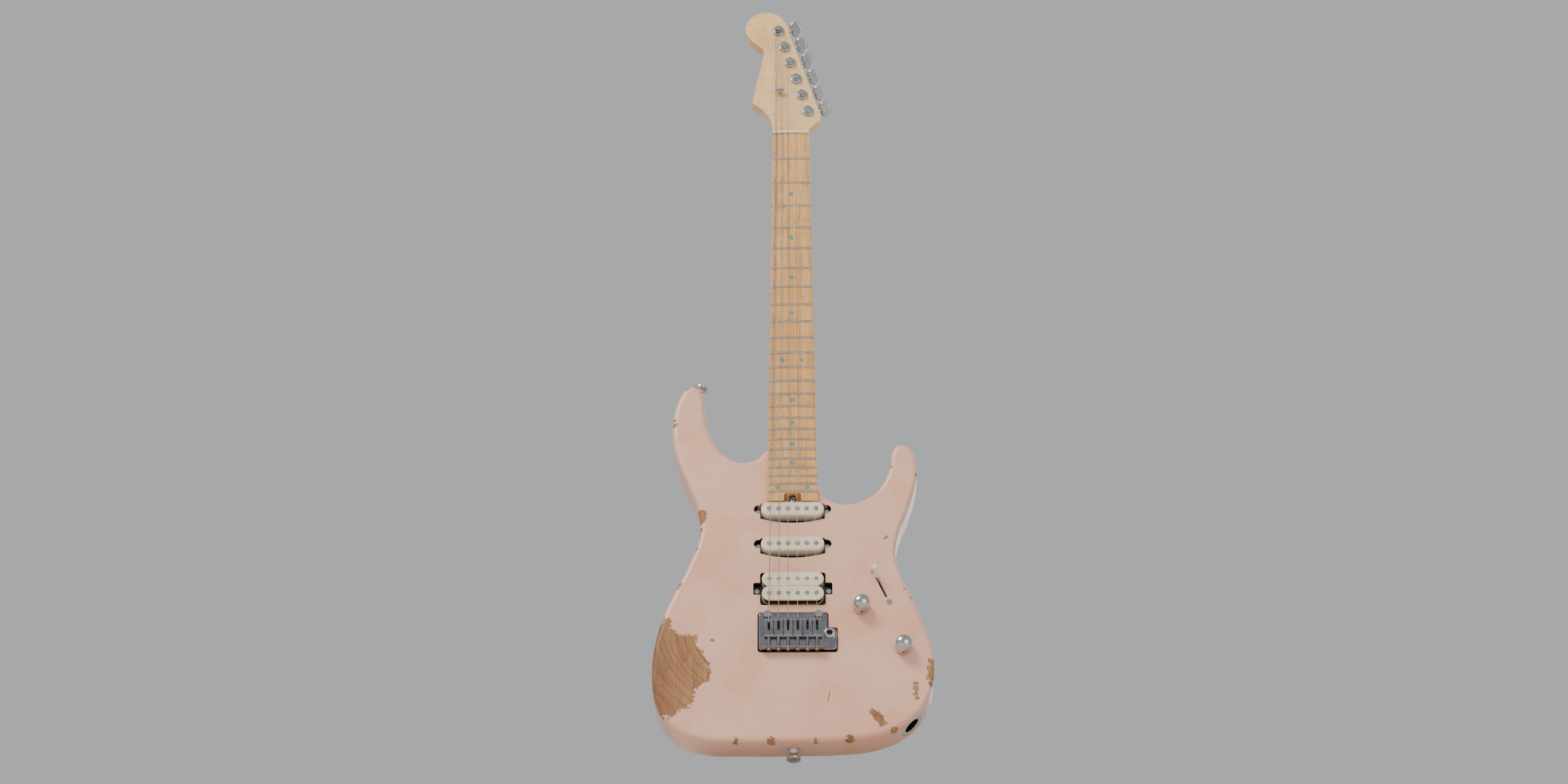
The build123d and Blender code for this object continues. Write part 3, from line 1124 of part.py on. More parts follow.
with BuildPart() as headstock_screws:
    for number in range(6):
        x, distance = tuner_place(number, *TUNER_SCREW_PLACE)
        with Locations(Plane(origin=spot(x, distance, HOUSING_BACK - 0.2), z_dir=(0, -1, 0))):
            add(countersunk_screw(SMALL_SCREW_RADIUS, TUNER_SCREW_LENGTH, SMALL_HEAD_RADIUS, 1.4))
    with Locations(Plane(origin=spot(*TREE_PLACE, TREE_UNDERSIDE_DEPTH - TREE_THICKNESS), z_dir=(0, 1, 0))):
        add(countersunk_screw(SMALL_SCREW_RADIUS, TREE_SCREW_LENGTH, SMALL_HEAD_RADIUS, TREE_SCREW_SINK))
save(headstock_screws, "headstock_screws")

with BuildPart() as string_tree:
    with Locations(Plane(origin=spot(*TREE_PLACE, HEADSTOCK_DEPTH), z_dir=(0, -1, 0))):
        Cylinder(TREE_STEM_RADIUS, HEADSTOCK_DEPTH - TREE_UNDERSIDE_DEPTH, align=CENTRE_UP)
    with BuildSketch(facing(TREE_UNDERSIDE_DEPTH)):
        with Locations(front(*TREE_PLACE)):
            SlotOverall(TREE_LENGTH, TREE_WIDTH)
    extrude(amount=TREE_THICKNESS)
    fillet(string_tree.edges().group_by(Axis.Y)[0], 0.5)
    with Locations(Plane(origin=spot(*TREE_PLACE, TREE_UNDERSIDE_DEPTH - TREE_THICKNESS), z_dir=(0, 1, 0))):
        Cone(SMALL_HEAD_RADIUS, SMALL_SCREW_RADIUS, TREE_SCREW_SINK, align=CENTRE_UP, mode=Mode.SUBTRACT)
        Cylinder(SMALL_SCREW_RADIUS, 30, mode=Mode.SUBTRACT)
save(string_tree, "string_tree")


for number in range(6):
    with BuildPart() as tuner_post:
        with Locations(Plane(origin=spot(*POST_PLACES[number], POST_FOOT_DEPTH), z_dir=(0, -1, 0))):
            Cylinder(GEAR_RADIUS, GEAR_HEIGHT, align=CENTRE_UP)
            Cylinder(POST_RADIUS, POST_FOOT_DEPTH - POST_TOP_DEPTH, align=CENTRE_UP)
        chamfer(tuner_post.edges().group_by(Axis.Y)[0], 0.6)
        # the narrower stretch that the string winds on, and its cross hole
        with BuildSketch(facing(WAIST_LOW_DEPTH)):
            with Locations(front(*POST_PLACES[number])):
                Circle(POST_RADIUS + 1)
                Circle(POST_WAIST_RADIUS, mode=Mode.SUBTRACT)
        extrude(amount=WAIST_LOW_DEPTH - WAIST_HIGH_DEPTH, mode=Mode.SUBTRACT)
        with Locations(spot(*POST_PLACES[number], WAIST_HIGH_DEPTH + 0.9)):
            Cylinder(POST_HOLE_RADIUS, 10, rotation=(0, 90, 0), mode=Mode.SUBTRACT)
    save(tuner_post, f"tuner_post_{number + 1}")


for number in range(6):
    with BuildPart() as tuner_key:
        with BuildSketch(key_plane(number, -WORM_HALF_LENGTH)):
            Circle(WORM_RADIUS)
        extrude(amount=2 * WORM_HALF_LENGTH)
        with BuildSketch(key_plane(number, WORM_HALF_LENGTH)):
            Circle(SHAFT_RADIUS)
        extrude(amount=BUTTON_START - WORM_HALF_LENGTH + 3)
        with BuildSketch(key_plane(number, KEY_COLLAR_START)):
            Circle(KEY_COLLAR_RADIUS)
        extrude(amount=KEY_COLLAR_LENGTH)
        # kidney button, its flat side turned part way to the front
        root = key_plane(number, BUTTON_START).origin
        button_plane = Plane(origin=root, x_dir=KEY_DIRECTION, z_dir=(0, -1, 0)).rotated((BUTTON_ROLL, 0, 0))
        with BuildSketch(button_plane.offset(-BUTTON_THICKNESS / 2)):
            with BuildLine():
                Spline(
                    (1.3, 0), (0.2, 4.2), (2.2, BUTTON_HALF_WIDTH - 1.4), (6.6, BUTTON_HALF_WIDTH),
                    (11.4, BUTTON_HALF_WIDTH - 2.6), (BUTTON_LENGTH, 0), (11.4, 2.6 - BUTTON_HALF_WIDTH),
                    (6.6, -BUTTON_HALF_WIDTH), (2.2, 1.4 - BUTTON_HALF_WIDTH), (0.2, -4.2), periodic=True,
                )
            make_face()
        extrude(amount=BUTTON_THICKNESS)
        faces = tuner_key.faces().filter_by(Axis(root, button_plane.z_dir))
        fillet(ShapeList(faces).sort_by(SortBy.AREA)[-2:].edges(), 1.9)
    save(tuner_key, f"tuner_key_{number + 1}")

# ---- single-coil pickups ----
POLE_XS = [(string - 2.5) * POLE_PITCH for string in range(6)]

with BuildPart() as single_coil_covers:
    for centre in SINGLE_COIL_CENTRES:
        with BuildPart(mode=Mode.PRIVATE) as cover:
            with BuildSketch(facing(BASE_DEPTH)):
                with Locations(front(0, centre)):
                    SlotOverall(COVER_LENGTH, COVER_WIDTH)
            extrude(amount=BASE_DEPTH - COVER_TOP_DEPTH)
            fillet(cover.faces().sort_by(Axis.Y)[0].edges(), 1.6)
            with BuildSketch(facing(BASE_DEPTH)):
                with Locations(front(0, centre)):
                    SlotOverall(COVER_LENGTH - 2 * COVER_WALL, COVER_WIDTH - 2 * COVER_WALL)
            extrude(amount=BASE_DEPTH - COVER_TOP_DEPTH - COVER_WALL - 0.1, mode=Mode.SUBTRACT)
            with BuildSketch(facing(COVER_TOP_DEPTH + 3)):
                with Locations(*[front(x, centre) for x in POLE_XS]):
                    Circle(POLE_RADIUS + 0.15)
            extrude(amount=5, mode=Mode.SUBTRACT)
        add(cover.part)
save(single_coil_covers, "single_coil_covers")

with BuildPart() as single_coil_bases:
    for centre in SINGLE_COIL_CENTRES:
        with BuildSketch(facing(BASE_DEPTH + BASE_THICKNESS)):
            with Locations(front(0, centre)):
                SlotOverall(COVER_LENGTH, COVER_WIDTH)
            with Locations(front(0, centre - EAR_SHIFT)):
                SlotOverall(*BASE_EARS)
            with Locations(*[front(x, centre) for x in POLE_XS]):
                Circle(POLE_RADIUS, mode=Mode.SUBTRACT)
            with Locations(front(-COIL_SCREW_X, centre - EAR_SHIFT), front(COIL_SCREW_X, centre - EAR_SHIFT)):
                Circle(SCREW_RADIUS, mode=Mode.SUBTRACT)
        extrude(amount=BASE_THICKNESS)
save(single_coil_bases, "single_coil_bases")

with BuildPart() as single_coil_poles:
    for centre in SINGLE_COIL_CENTRES:
        with BuildSketch(facing(POLE_FOOT_DEPTH)):
            with Locations(*[front(x, centre) for x in POLE_XS]):
                Circle(POLE_RADIUS)
        extrude(amount=POLE_FOOT_DEPTH - POLE_TOP_DEPTH)
    chamfer(single_coil_poles.faces().group_by(Axis.Y)[0].edges(), 0.35)
save(single_coil_poles, "single_coil_poles")

# ---- humbucker ----
with BuildPart() as humbucker_bobbins:
    for row in HUMBUCKER_ROWS:
        with BuildPart(mode=Mode.PRIVATE) as bobbin:
            with BuildSketch(facing(BOBBIN_TOP_DEPTH + FLANGE_THICKNESS)):
                with Locations(front(0, row)):
                    SlotOverall(BOBBIN_LENGTH, BOBBIN_WIDTH)
            extrude(amount=FLANGE_THICKNESS)
            fillet(bobbin.faces().sort_by(Axis.Y)[0].edges(), 0.9)
            with BuildSketch(facing(BOBBIN_FOOT_DEPTH)):
                with Locations(front(0, row)):
                    SlotOverall(CORE_LENGTH, CORE_WIDTH)
            extrude(amount=BOBBIN_FOOT_DEPTH - BOBBIN_TOP_DEPTH - FLANGE_THICKNESS)
            with BuildSketch(facing(BOBBIN_FOOT_DEPTH)):
                with Locations(front(0, row)):
                    SlotOverall(BOBBIN_LENGTH - 1, BOBBIN_WIDTH - 0.4)
            extrude(amount=LOWER_FLANGE_THICKNESS)
            with BuildSketch(facing(BOBBIN_FOOT_DEPTH)):
                with Locations(*[front(x, row) for x in POLE_XS]):
                    Circle(POLE_RADIUS)
            extrude(amount=30, mode=Mode.SUBTRACT)
            # the small witness holes between the outer poles
            with BuildSketch(facing(BOBBIN_TOP_DEPTH + 1)):
                with Locations(*[front(x, row) for x in WITNESS_XS]):
                    Circle(WITNESS_RADIUS)
            extrude(amount=5, mode=Mode.SUBTRACT)
        add(bobbin.part)
save(humbucker_bobbins, "humbucker_bobbins")

with BuildPart() as pickup_windings:
    for centre in SINGLE_COIL_CENTRES:
        with BuildSketch(facing(BASE_DEPTH)):
            with Locations(front(0, centre)):
                SlotOverall(COVER_LENGTH - 4, COVER_WIDTH - 4)
                SlotOverall(CORE_LENGTH, 2 * POLE_RADIUS + 0.2, mode=Mode.SUBTRACT)
        extrude(amount=BASE_DEPTH - COVER_TOP_DEPTH - 2)
    for row in HUMBUCKER_ROWS:
        with BuildSketch(facing(BOBBIN_FOOT_DEPTH - LOWER_FLANGE_THICKNESS)):
            with Locations(front(0, row)):
                SlotOverall(BOBBIN_LENGTH - 2, BOBBIN_WIDTH - 1)
                SlotOverall(CORE_LENGTH, CORE_WIDTH, mode=Mode.SUBTRACT)
        extrude(amount=BOBBIN_FOOT_DEPTH - LOWER_FLANGE_THICKNESS - BOBBIN_TOP_DEPTH - FLANGE_THICKNESS)
save(pickup_windings, "pickup_windings")

with BuildPart() as humbucker_poles:
    slug_row, screw_row = HUMBUCKER_ROWS
    with Locations(facing(BOBBIN_TOP_DEPTH)):
        with Locations(*[front(x, slug_row) for x in POLE_XS]):
            Cylinder(POLE_RADIUS, TRAY_DEPTH - BOBBIN_TOP_DEPTH, align=CENTRE_DOWN)
        with Locations(*[front(x, screw_row) for x in POLE_XS]):
            Cylinder(POLE_RADIUS, POLE_SCREW_LENGTH, align=CENTRE_DOWN)
            Cylinder(POLE_RADIUS, POLE_SCREW_RISE, align=CENTRE_UP)
            with Locations((0, 0, POLE_SCREW_RISE - 0.2)):
                Box(6, 0.7, 1.4, rotation=(0, 0, POLE_SLOT_TURN), mode=Mode.SUBTRACT)
save(humbucker_poles, "humbucker_poles")

with BuildPart() as humbucker_magnet:
    with BuildSketch(facing(TRAY_DEPTH)):
        with Locations(front(0, sum(HUMBUCKER_ROWS) / 2)):
            Rectangle(MAGNET_LENGTH, HUMBUCKER_ROWS[1] - HUMBUCKER_ROWS[0] - 2 * POLE_RADIUS)
    extrude(amount=TRAY_DEPTH - BOBBIN_FOOT_DEPTH)
save(humbucker_magnet, "humbucker_magnet")

with BuildPart() as humbucker_tray:
    with BuildSketch(facing(TRAY_DEPTH + TRAY_THICKNESS)):
        with Locations(front(0, HUMBUCKER_CENTRE)):
            RectangleRounded(*TRAY)
            RectangleRounded(*TRAY_EARS)
        with Locations(*[front(side * HUMBUCKER_SCREW_X, HUMBUCKER_CENTRE) for side in (-1, 1)]):
            Circle(SCREW_RADIUS, mode=Mode.SUBTRACT)
        with Locations(*[front(x, HUMBUCKER_ROWS[1]) for x in POLE_XS]):
            Circle(POLE_RADIUS, mode=Mode.SUBTRACT)
    extrude(amount=TRAY_THICKNESS)
save(humbucker_tray, "humbucker_tray")

with BuildPart() as pickup_screws:
    for x, distance in PICKUP_SCREW_PLACES:
        seat = TRAY_DEPTH if distance == HUMBUCKER_CENTRE else BASE_DEPTH
        with Locations(Plane(origin=spot(x, distance, seat), z_dir=(0, 1, 0))):
            Cylinder(SCREW_RADIUS, PICKUP_SCREW_LENGTH, align=CENTRE_UP)
            Cylinder(PICKUP_HEAD_RADIUS, PICKUP_HEAD_HEIGHT, align=CENTRE_DOWN)
            with Locations((0, 0, -PICKUP_HEAD_HEIGHT)):
                cross_slot(3.6, 0.8, 1.6)
save(pickup_screws, "pickup_screws")

# ---- tremolo posts ----
with BuildPart() as bridge_studs:
    for depth, radius, height in (
        (STUD_FOOT_DEPTH, POST_WAIST, STUD_FOOT_DEPTH - STUD_TOP_DEPTH),
        (INSERT_TOP, POST_COLLAR_RADIUS, POST_COLLAR_HEIGHT),
        (STUD_TOP_DEPTH + POST_HEAD_HEIGHT, POST_HEAD_RADIUS, POST_HEAD_HEIGHT),
    ):
        with Locations(facing(depth)):
            with Locations(front(-POST_X, POST_DISTANCE), front(POST_X, POST_DISTANCE)):
                Cylinder(radius, height, align=CENTRE_UP)
    chamfer(bridge_studs.edges().group_by(Axis.Y)[0], 0.4)
    with Locations(facing(STUD_TOP_DEPTH)):
        with Locations(front(-POST_X, POST_DISTANCE), front(POST_X, POST_DISTANCE)):
            Box(10, 1.1, 2.4, mode=Mode.SUBTRACT)

with BuildPart() as post_inserts:
    with BuildSketch(facing(INSERT_FOOT)):
        with Locations(front(-POST_X, POST_DISTANCE), front(POST_X, POST_DISTANCE)):
            Circle(INSERT_RADIUS)
            Circle(POST_WAIST, mode=Mode.SUBTRACT)
    extrude(amount=INSERT_FOOT - INSERT_TOP)
save_group((bridge_studs, post_inserts), "bridge_posts")

# ---- bridge plate ----
with BuildPart() as bridge_plate:
    with BuildSketch(facing(PLATE_FOOT_DEPTH)):
        with Locations(front(0, (PLATE_FRONT + PLATE_REAR) / 2)):
            RectangleRounded(2 * PLATE_HALF_WIDTH, PLATE_REAR - PLATE_FRONT, 3)
        with Locations(front(*PLATE_EAR_PLACE)):
            RectangleRounded(*PLATE_EAR)
    extrude(amount=PLATE_FOOT_DEPTH - PLATE_TOP_DEPTH)
    fillet(bridge_plate.faces().sort_by(Axis.Y)[0].edges(), 0.8)
    # lip at the rear, bent up from the plate
    with BuildSketch(across(PLATE_REAR)):
        with Locations((0, depth_y((LIP_TOP_DEPTH + PLATE_TOP_DEPTH) / 2 + 0.5))):
            Rectangle(2 * PLATE_HALF_WIDTH - 6, PLATE_TOP_DEPTH - LIP_TOP_DEPTH + 1)
    extrude(amount=LIP_THICKNESS)
    fillet(bridge_plate.faces().sort_by(Axis.Y)[0].edges(), 0.8)
    with BuildSketch(across(PLATE_REAR + 1)):
        with Locations(*[(saddle_x(string), depth_y(INTONATION_DEPTH)) for string in range(6)]):
            Circle(INTONATION_RADIUS + 0.2)
    extrude(amount=6, mode=Mode.SUBTRACT)
    # notches for the two posts, string wells and the arm's hole
    with BuildSketch(facing(PLATE_FOOT_DEPTH + 1)):
        for x in (-POST_X, POST_X):
            with Locations(front(x, POST_DISTANCE)):
                Circle(POST_WAIST + KNIFE_GAP)
            with Locations(front(x, POST_DISTANCE - 3)):
                Rectangle(2 * (POST_WAIST + KNIFE_GAP), 6)
        for string in range(6):
            with Locations(front(saddle_x(string), STRING_WELL_DISTANCE - 0.6)):
                SlotOverall(*WELL_SLOT, rotation=90)
        with Locations(front(ARM_X, ARM_DISTANCE)):
            Circle(ARM_STEM_RADIUS)
    extrude(amount=6, mode=Mode.SUBTRACT)
save(bridge_plate, "bridge_plate")

# ---- sustain block ----
with BuildPart() as sustain_block:
    with BuildSketch(facing(BLOCK_FOOT_DEPTH)):
        with Locations(front(0, (BLOCK_TOP + BLOCK_BOTTOM) / 2)):
            RectangleRounded(BLOCK_LENGTH, BLOCK_BOTTOM - BLOCK_TOP, 1)
    extrude(amount=BLOCK_FOOT_DEPTH - PLATE_FOOT_DEPTH)
    chamfer(sustain_block.faces().sort_by(Axis.Y)[-1].edges(), 0.8)
    with Locations(facing(BLOCK_FOOT_DEPTH)):
        with Locations(*[front(saddle_x(string), STRING_WELL_DISTANCE) for string in range(6)]):
            Cylinder(
                BALL_RADIUS + 0.2, BLOCK_FOOT_DEPTH - BALL_DEPTH, align=CENTRE_UP, mode=Mode.SUBTRACT
            )
            Cylinder(STRING_HOLE_RADIUS, 50, align=CENTRE_UP, mode=Mode.SUBTRACT)
    with BuildSketch(across(BLOCK_TOP + 4)):
        with Locations(*[(x, depth_y(SPRING_DEPTH)) for x in (*FREE_SPRING_XS, *SPRING_XS)]):
            Circle(SPRING_WIRE_RADIUS + 0.1)
    extrude(amount=6, mode=Mode.SUBTRACT)
save(sustain_block, "sustain_block")

# ---- saddles ----
def crest(string):
    """Where a string leaves its saddle: distance below the nut and depth of the saddle's top."""
    return SCALE_LENGTH + SADDLE_SETBACK[string], underside_at_saddle(string) + STRING_CLEARANCE


with BuildPart() as saddles:
    for string in range(6):
        reach, top = crest(string)
        x = saddle_x(string)
        with BuildPart(mode=Mode.PRIVATE) as saddle:
            with BuildSketch(Plane.YZ.offset(x - SADDLE_WIDTH / 2)):
                with BuildLine():
                    rise = Polyline(
                        side_view(SADDLE_FOOT_DEPTH, reach - 3.0), side_view(top + 1.6, reach - 3.0)
                    )
                    nose = ThreePointArc(rise @ 1, side_view(top + 0.35, reach - 1.7), side_view(top, reach))
                    Polyline(
                        nose @ 1, side_view(top + 0.7, reach + 3.2),
                        side_view(SADDLE_TAIL_DEPTH - 0.6, SADDLE_REAR - 1.4),
                        side_view(SADDLE_TAIL_DEPTH, SADDLE_REAR), side_view(SADDLE_FOOT_DEPTH, SADDLE_REAR),
                        rise @ 0,
                    )
                make_face()
            extrude(amount=SADDLE_WIDTH)
            slope = saddle.faces().filter_by(lambda face: face.area > 120).sort_by(Axis.Y)[0]
            chamfer(slope.edges().filter_by(Axis.X, reverse=True), 0.5)
            # string slot behind the crest, and the screws' holes
            with BuildSketch(facing(0)):
                with Locations(front(x, (reach + 0.7 + SADDLE_SLOT_END) / 2)):
                    SlotOverall(SADDLE_SLOT_END - reach - 0.7, SADDLE_SLOT_WIDTH, rotation=90)
                for side in (-1, 1):
                    with Locations(front(x + side * HEIGHT_SCREW_X, HEIGHT_SCREW_DISTANCE)):
                        Circle(HEIGHT_SCREW_RADIUS)
            extrude(amount=20, mode=Mode.SUBTRACT)
            with BuildSketch(across(SADDLE_REAR)):
                with Locations((x, depth_y(INTONATION_DEPTH))):
                    Circle(INTONATION_RADIUS)
            extrude(amount=4.6, mode=Mode.SUBTRACT)
        add(saddle.part)
save(saddles, "saddles")

with BuildPart() as saddle_screws:
    for string in range(6):
        reach, top = crest(string)
        x = saddle_x(string)
        # two height screws standing on the plate, with hex sockets
        for side in (-1, 1):
            foot = spot(x + side * HEIGHT_SCREW_X, HEIGHT_SCREW_DISTANCE, PLATE_TOP_DEPTH)
            with Locations(Plane(origin=foot, z_dir=(0, -1, 0))):
                Cylinder(HEIGHT_SCREW_RADIUS, PLATE_TOP_DEPTH - top - 0.2, align=CENTRE_UP)
                with Locations((0, 0, PLATE_TOP_DEPTH - top - 1.4)):
                    Cylinder(HEX_RADIUS, 3, align=CENTRE_UP, mode=Mode.SUBTRACT)
        # intonation screw through the lip into the saddle's rear
        with Locations(Plane(origin=spot(x, PLATE_REAR, INTONATION_DEPTH), z_dir=(0, 0, 1))):
            Cylinder(INTONATION_RADIUS, PLATE_REAR - SADDLE_REAR + 4, align=CENTRE_UP)
            Cylinder(INTONATION_HEAD_RADIUS, INTONATION_HEAD_HEIGHT, align=CENTRE_DOWN)
            with Locations((0, 0, -INTONATION_HEAD_HEIGHT)):
                cross_slot(3.0, 0.7, 1.4)
save(saddle_screws, "saddle_screws")

with BuildPart() as arm_socket:
    with Locations(Plane(origin=spot(ARM_X, ARM_DISTANCE, PLATE_TOP_DEPTH), z_dir=(0, -1, 0))):
        Cylinder(ARM_COLLAR_RADIUS, ARM_COLLAR_HEIGHT, align=CENTRE_UP)
        Cylinder(ARM_STEM_RADIUS, ARM_STEM_LENGTH, align=CENTRE_DOWN)
    fillet(arm_socket.edges().group_by(Axis.Y)[0], 1.2)
    arm_mouth = spot(ARM_X, ARM_DISTANCE, PLATE_TOP_DEPTH - ARM_COLLAR_HEIGHT)
    with Locations(Plane(origin=arm_mouth, z_dir=(0, 1, 0))):
        Cylinder(ARM_BORE_RADIUS, ARM_BORE_LENGTH, align=CENTRE_UP, mode=Mode.SUBTRACT)
save(arm_socket, "arm_socket")

with BuildPart() as bridge_strings:
    for string, diameter in enumerate(STRING_DIAMETERS):
        reach, top = crest(string)
        x = saddle_x(string)
        radius = diameter / 2
        peak = spot(x, reach + 1.2 + radius, top + radius + 0.1)
        well = spot(x, STRING_WELL_DISTANCE, PLATE_TOP_DEPTH - 0.6)
        ball = spot(x, STRING_WELL_DISTANCE, BALL_DEPTH + 2)
        with BuildLine(mode=Mode.PRIVATE) as tail:
            FilletPolyline(peak, well, ball, radius=3)
        with BuildSketch(Plane(origin=peak, z_dir=well - peak)):
            Circle(radius)
        sweep(path=tail.wires()[0])
        with Locations(Plane(origin=spot(x, STRING_WELL_DISTANCE, BALL_DEPTH), z_dir=(0, 1, 0))):
            Cylinder(BALL_RADIUS, BALL_LENGTH, align=CENTRE_UP)
save(bridge_strings, "bridge_strings")

# ---- tremolo springs and claw ----
with BuildPart() as spring_claw:
    with BuildSketch(across(CLAW_DISTANCE)):
        with Locations((0, depth_y(CLAW_DEPTH - 0.5))):
            RectangleRounded(*CLAW)
        with Locations((-CLAW_SCREW_X, depth_y(CLAW_DEPTH)), (CLAW_SCREW_X, depth_y(CLAW_DEPTH))):
            Circle(CLAW_SCREW_RADIUS, mode=Mode.SUBTRACT)
    extrude(amount=CLAW_THICKNESS)
save(spring_claw, "spring_claw")

with BuildPart() as claw_screws:
    for x in (-CLAW_SCREW_X, CLAW_SCREW_X):
        with Locations(Plane(origin=spot(x, CLAW_DISTANCE, CLAW_DEPTH), z_dir=(0, 0, 1))):
            Cylinder(CLAW_SCREW_RADIUS, CLAW_DISTANCE - CLAW_SCREW_END, align=CENTRE_UP)
            Cylinder(CLAW_HEAD_RADIUS, CLAW_HEAD_HEIGHT, align=CENTRE_DOWN)
            with Locations((0, 0, -CLAW_HEAD_HEIGHT)):
                cross_slot(5.0, 1.0, 2.0)
save(claw_screws, "claw_screws")

with BuildPart() as tremolo_springs:
    for x in SPRING_XS:
        with BuildSketch(across(SPRING_COIL_END)):
            with Locations((x, depth_y(SPRING_DEPTH))):
                Circle(SPRING_RADIUS)
        extrude(amount=SPRING_COIL_END - SPRING_COIL_START)
        for start, end in ((CLAW_DISTANCE, SPRING_COIL_START), (SPRING_COIL_END, BLOCK_TOP + 3)):
            add(rod(spot(x, start, SPRING_DEPTH), spot(x, end, SPRING_DEPTH), SPRING_WIRE_RADIUS))
save(tremolo_springs, "tremolo_springs")

# ---- pots and knobs ----
with BuildPart() as pots:
    with Locations(facing(TOP_OVER_CONTROLS)):
        with Locations(front(*VOLUME_PLACE), front(*TONE_PLACE)):
            Cylinder(POT_CAN_RADIUS, POT_CAN_HEIGHT, align=CENTRE_DOWN)
            Cylinder(POT_BUSHING_RADIUS, TOP_OVER_CONTROLS - POT_BUSHING_TOP, align=CENTRE_UP)
    fillet(pots.edges().group_by(Axis.Y)[-1], 1.2)
    with Locations(facing(POT_SHAFT_FOOT + 1)):
        with Locations(front(*VOLUME_PLACE), front(*TONE_PLACE)):
            Cylinder(POT_SHAFT_RADIUS + RUNNING_GAP, 30, align=CENTRE_UP, mode=Mode.SUBTRACT)
save(pots, "pots")

for name, place in (("volume_knob", VOLUME_PLACE), ("tone_knob", TONE_PLACE)):
    foot = spot(*place, KNOB_FOOT_DEPTH)
    with BuildPart() as knob:
        # half of the turned profile, its second coordinate running into the body
        with BuildSketch(Plane(origin=foot, x_dir=(1, 0, 0), z_dir=(0, 0, 1))):
            with BuildLine():
                wall = Polyline(
                    (KNOB_RECESS_RADIUS, 0), (KNOB_RADIUS - 0.4, 0),
                    (KNOB_RADIUS, -0.4), (KNOB_RADIUS, -KNOB_BARREL),
                )
                dome = Spline(wall @ 1, (0, -KNOB_HEIGHT), tangents=((0, -1), (-1, 0)))
                Polyline(
                    dome @ 1, (0, -KNOB_SOCKET), (POT_SHAFT_RADIUS, -KNOB_SOCKET),
                    (POT_SHAFT_RADIUS, -KNOB_RECESS), (KNOB_RECESS_RADIUS, -KNOB_RECESS), wall @ 0,
                )
            make_face()
        revolve(axis=Axis(foot, (0, 1, 0)))
        with Locations(Plane(origin=spot(*place, KNOB_FOOT_DEPTH - GRUB_HEIGHT), z_dir=(0, 0, -1))):
            Cylinder(GRUB_RADIUS, 14, align=CENTRE_UP, mode=Mode.SUBTRACT)
    with BuildPart() as shaft:
        with BuildSketch(facing(POT_SHAFT_FOOT)):
            with Locations(front(*place)):
                Circle(POT_SHAFT_RADIUS)
        extrude(amount=POT_SHAFT_FOOT - KNOB_FOOT_DEPTH + KNOB_SOCKET)
    save_group((knob, shaft), name)

# ---- blade switch ----
SWITCH_UP = Vector(-math.sin(math.radians(SWITCH_TILT)), 0, math.cos(math.radians(SWITCH_TILT)))
SWITCH_AXIS = Vector(math.cos(math.radians(SWITCH_TILT)), 0, math.sin(math.radians(SWITCH_TILT)))


def switch_plane(depth):
    """A plane facing forward at the switch, its x across the slot and its y up the slot."""
    return Plane(origin=spot(*SWITCH_PLACE, depth), x_dir=SWITCH_AXIS, z_dir=(0, -1, 0))


LEVER_TILT = math.radians(SWITCH_THROW)
LEVER_PLANE = Plane(
    origin=spot(*SWITCH_PLACE, SWITCH_PIVOT_DEPTH),
    x_dir=SWITCH_AXIS,
    z_dir=SWITCH_UP * math.sin(LEVER_TILT) - Vector(0, math.cos(LEVER_TILT), 0),
)

with BuildPart() as switch_frame:
    with BuildSketch(switch_plane(TOP_OVER_CONTROLS + SWITCH_PLATE)):
        RectangleRounded(*SWITCH_FRAME)
        SlotOverall(SWITCH_SLOT_LENGTH, SWITCH_SLOT_WIDTH, rotation=90, mode=Mode.SUBTRACT)
        with Locations((0, SWITCH_SCREW_SPACING / 2), (0, -SWITCH_SCREW_SPACING / 2)):
            Circle(SWITCH_SCREW_RADIUS, mode=Mode.SUBTRACT)
    extrude(amount=SWITCH_PLATE)
    # two walls that carry the lever's pin
    with BuildSketch(switch_plane(SWITCH_PIVOT_DEPTH + 5)):
        with Locations((SWITCH_WALL_GAP + SWITCH_WALL / 2, 0), (-SWITCH_WALL_GAP - SWITCH_WALL / 2, 0)):
            Rectangle(SWITCH_WALL, SWITCH_WALL_LENGTH)
    extrude(amount=SWITCH_PIVOT_DEPTH + 5 - TOP_OVER_CONTROLS - SWITCH_PLATE)
    pin_end = LEVER_PLANE.origin - SWITCH_AXIS * (SWITCH_WALL_GAP + 0.4)
    with BuildSketch(Plane(origin=pin_end, z_dir=SWITCH_AXIS)):
        Circle(SWITCH_PIN_RADIUS)
    extrude(amount=2 * SWITCH_WALL_GAP + 0.8)
save(switch_frame, "switch_frame")

with BuildPart() as switch_lever:
    with BuildSketch(LEVER_PLANE):
        Rectangle(LEVER_THICKNESS, LEVER_WIDTH)
    extrude(amount=LEVER_LENGTH)
    with BuildSketch(Plane(origin=LEVER_PLANE.origin - SWITCH_AXIS * HUB_LENGTH / 2, z_dir=SWITCH_AXIS)):
        Circle(HUB_RADIUS)
    extrude(amount=HUB_LENGTH)
    with BuildSketch(Plane(origin=LEVER_PLANE.origin - SWITCH_AXIS * HUB_LENGTH, z_dir=SWITCH_AXIS)):
        Circle(SWITCH_PIN_RADIUS + RUNNING_GAP)
    extrude(amount=2 * HUB_LENGTH, mode=Mode.SUBTRACT)
save(switch_lever, "switch_lever")

with BuildPart() as switch_tip:
    with BuildSketch(LEVER_PLANE.offset(TIP_START)):
        RectangleRounded(TIP_THICKNESS - 0.8, TIP_WIDTH - 1.6, 1.2)
    with BuildSketch(LEVER_PLANE.offset(TIP_END)):
        RectangleRounded(TIP_THICKNESS, TIP_WIDTH, 1.6)
    loft()
    fillet(switch_tip.faces().sort_by(Axis.Y)[0].edges(), 1.2)
    with BuildSketch(LEVER_PLANE):
        Rectangle(LEVER_THICKNESS, LEVER_WIDTH)
    extrude(amount=LEVER_LENGTH, mode=Mode.SUBTRACT)
save(switch_tip, "switch_tip")

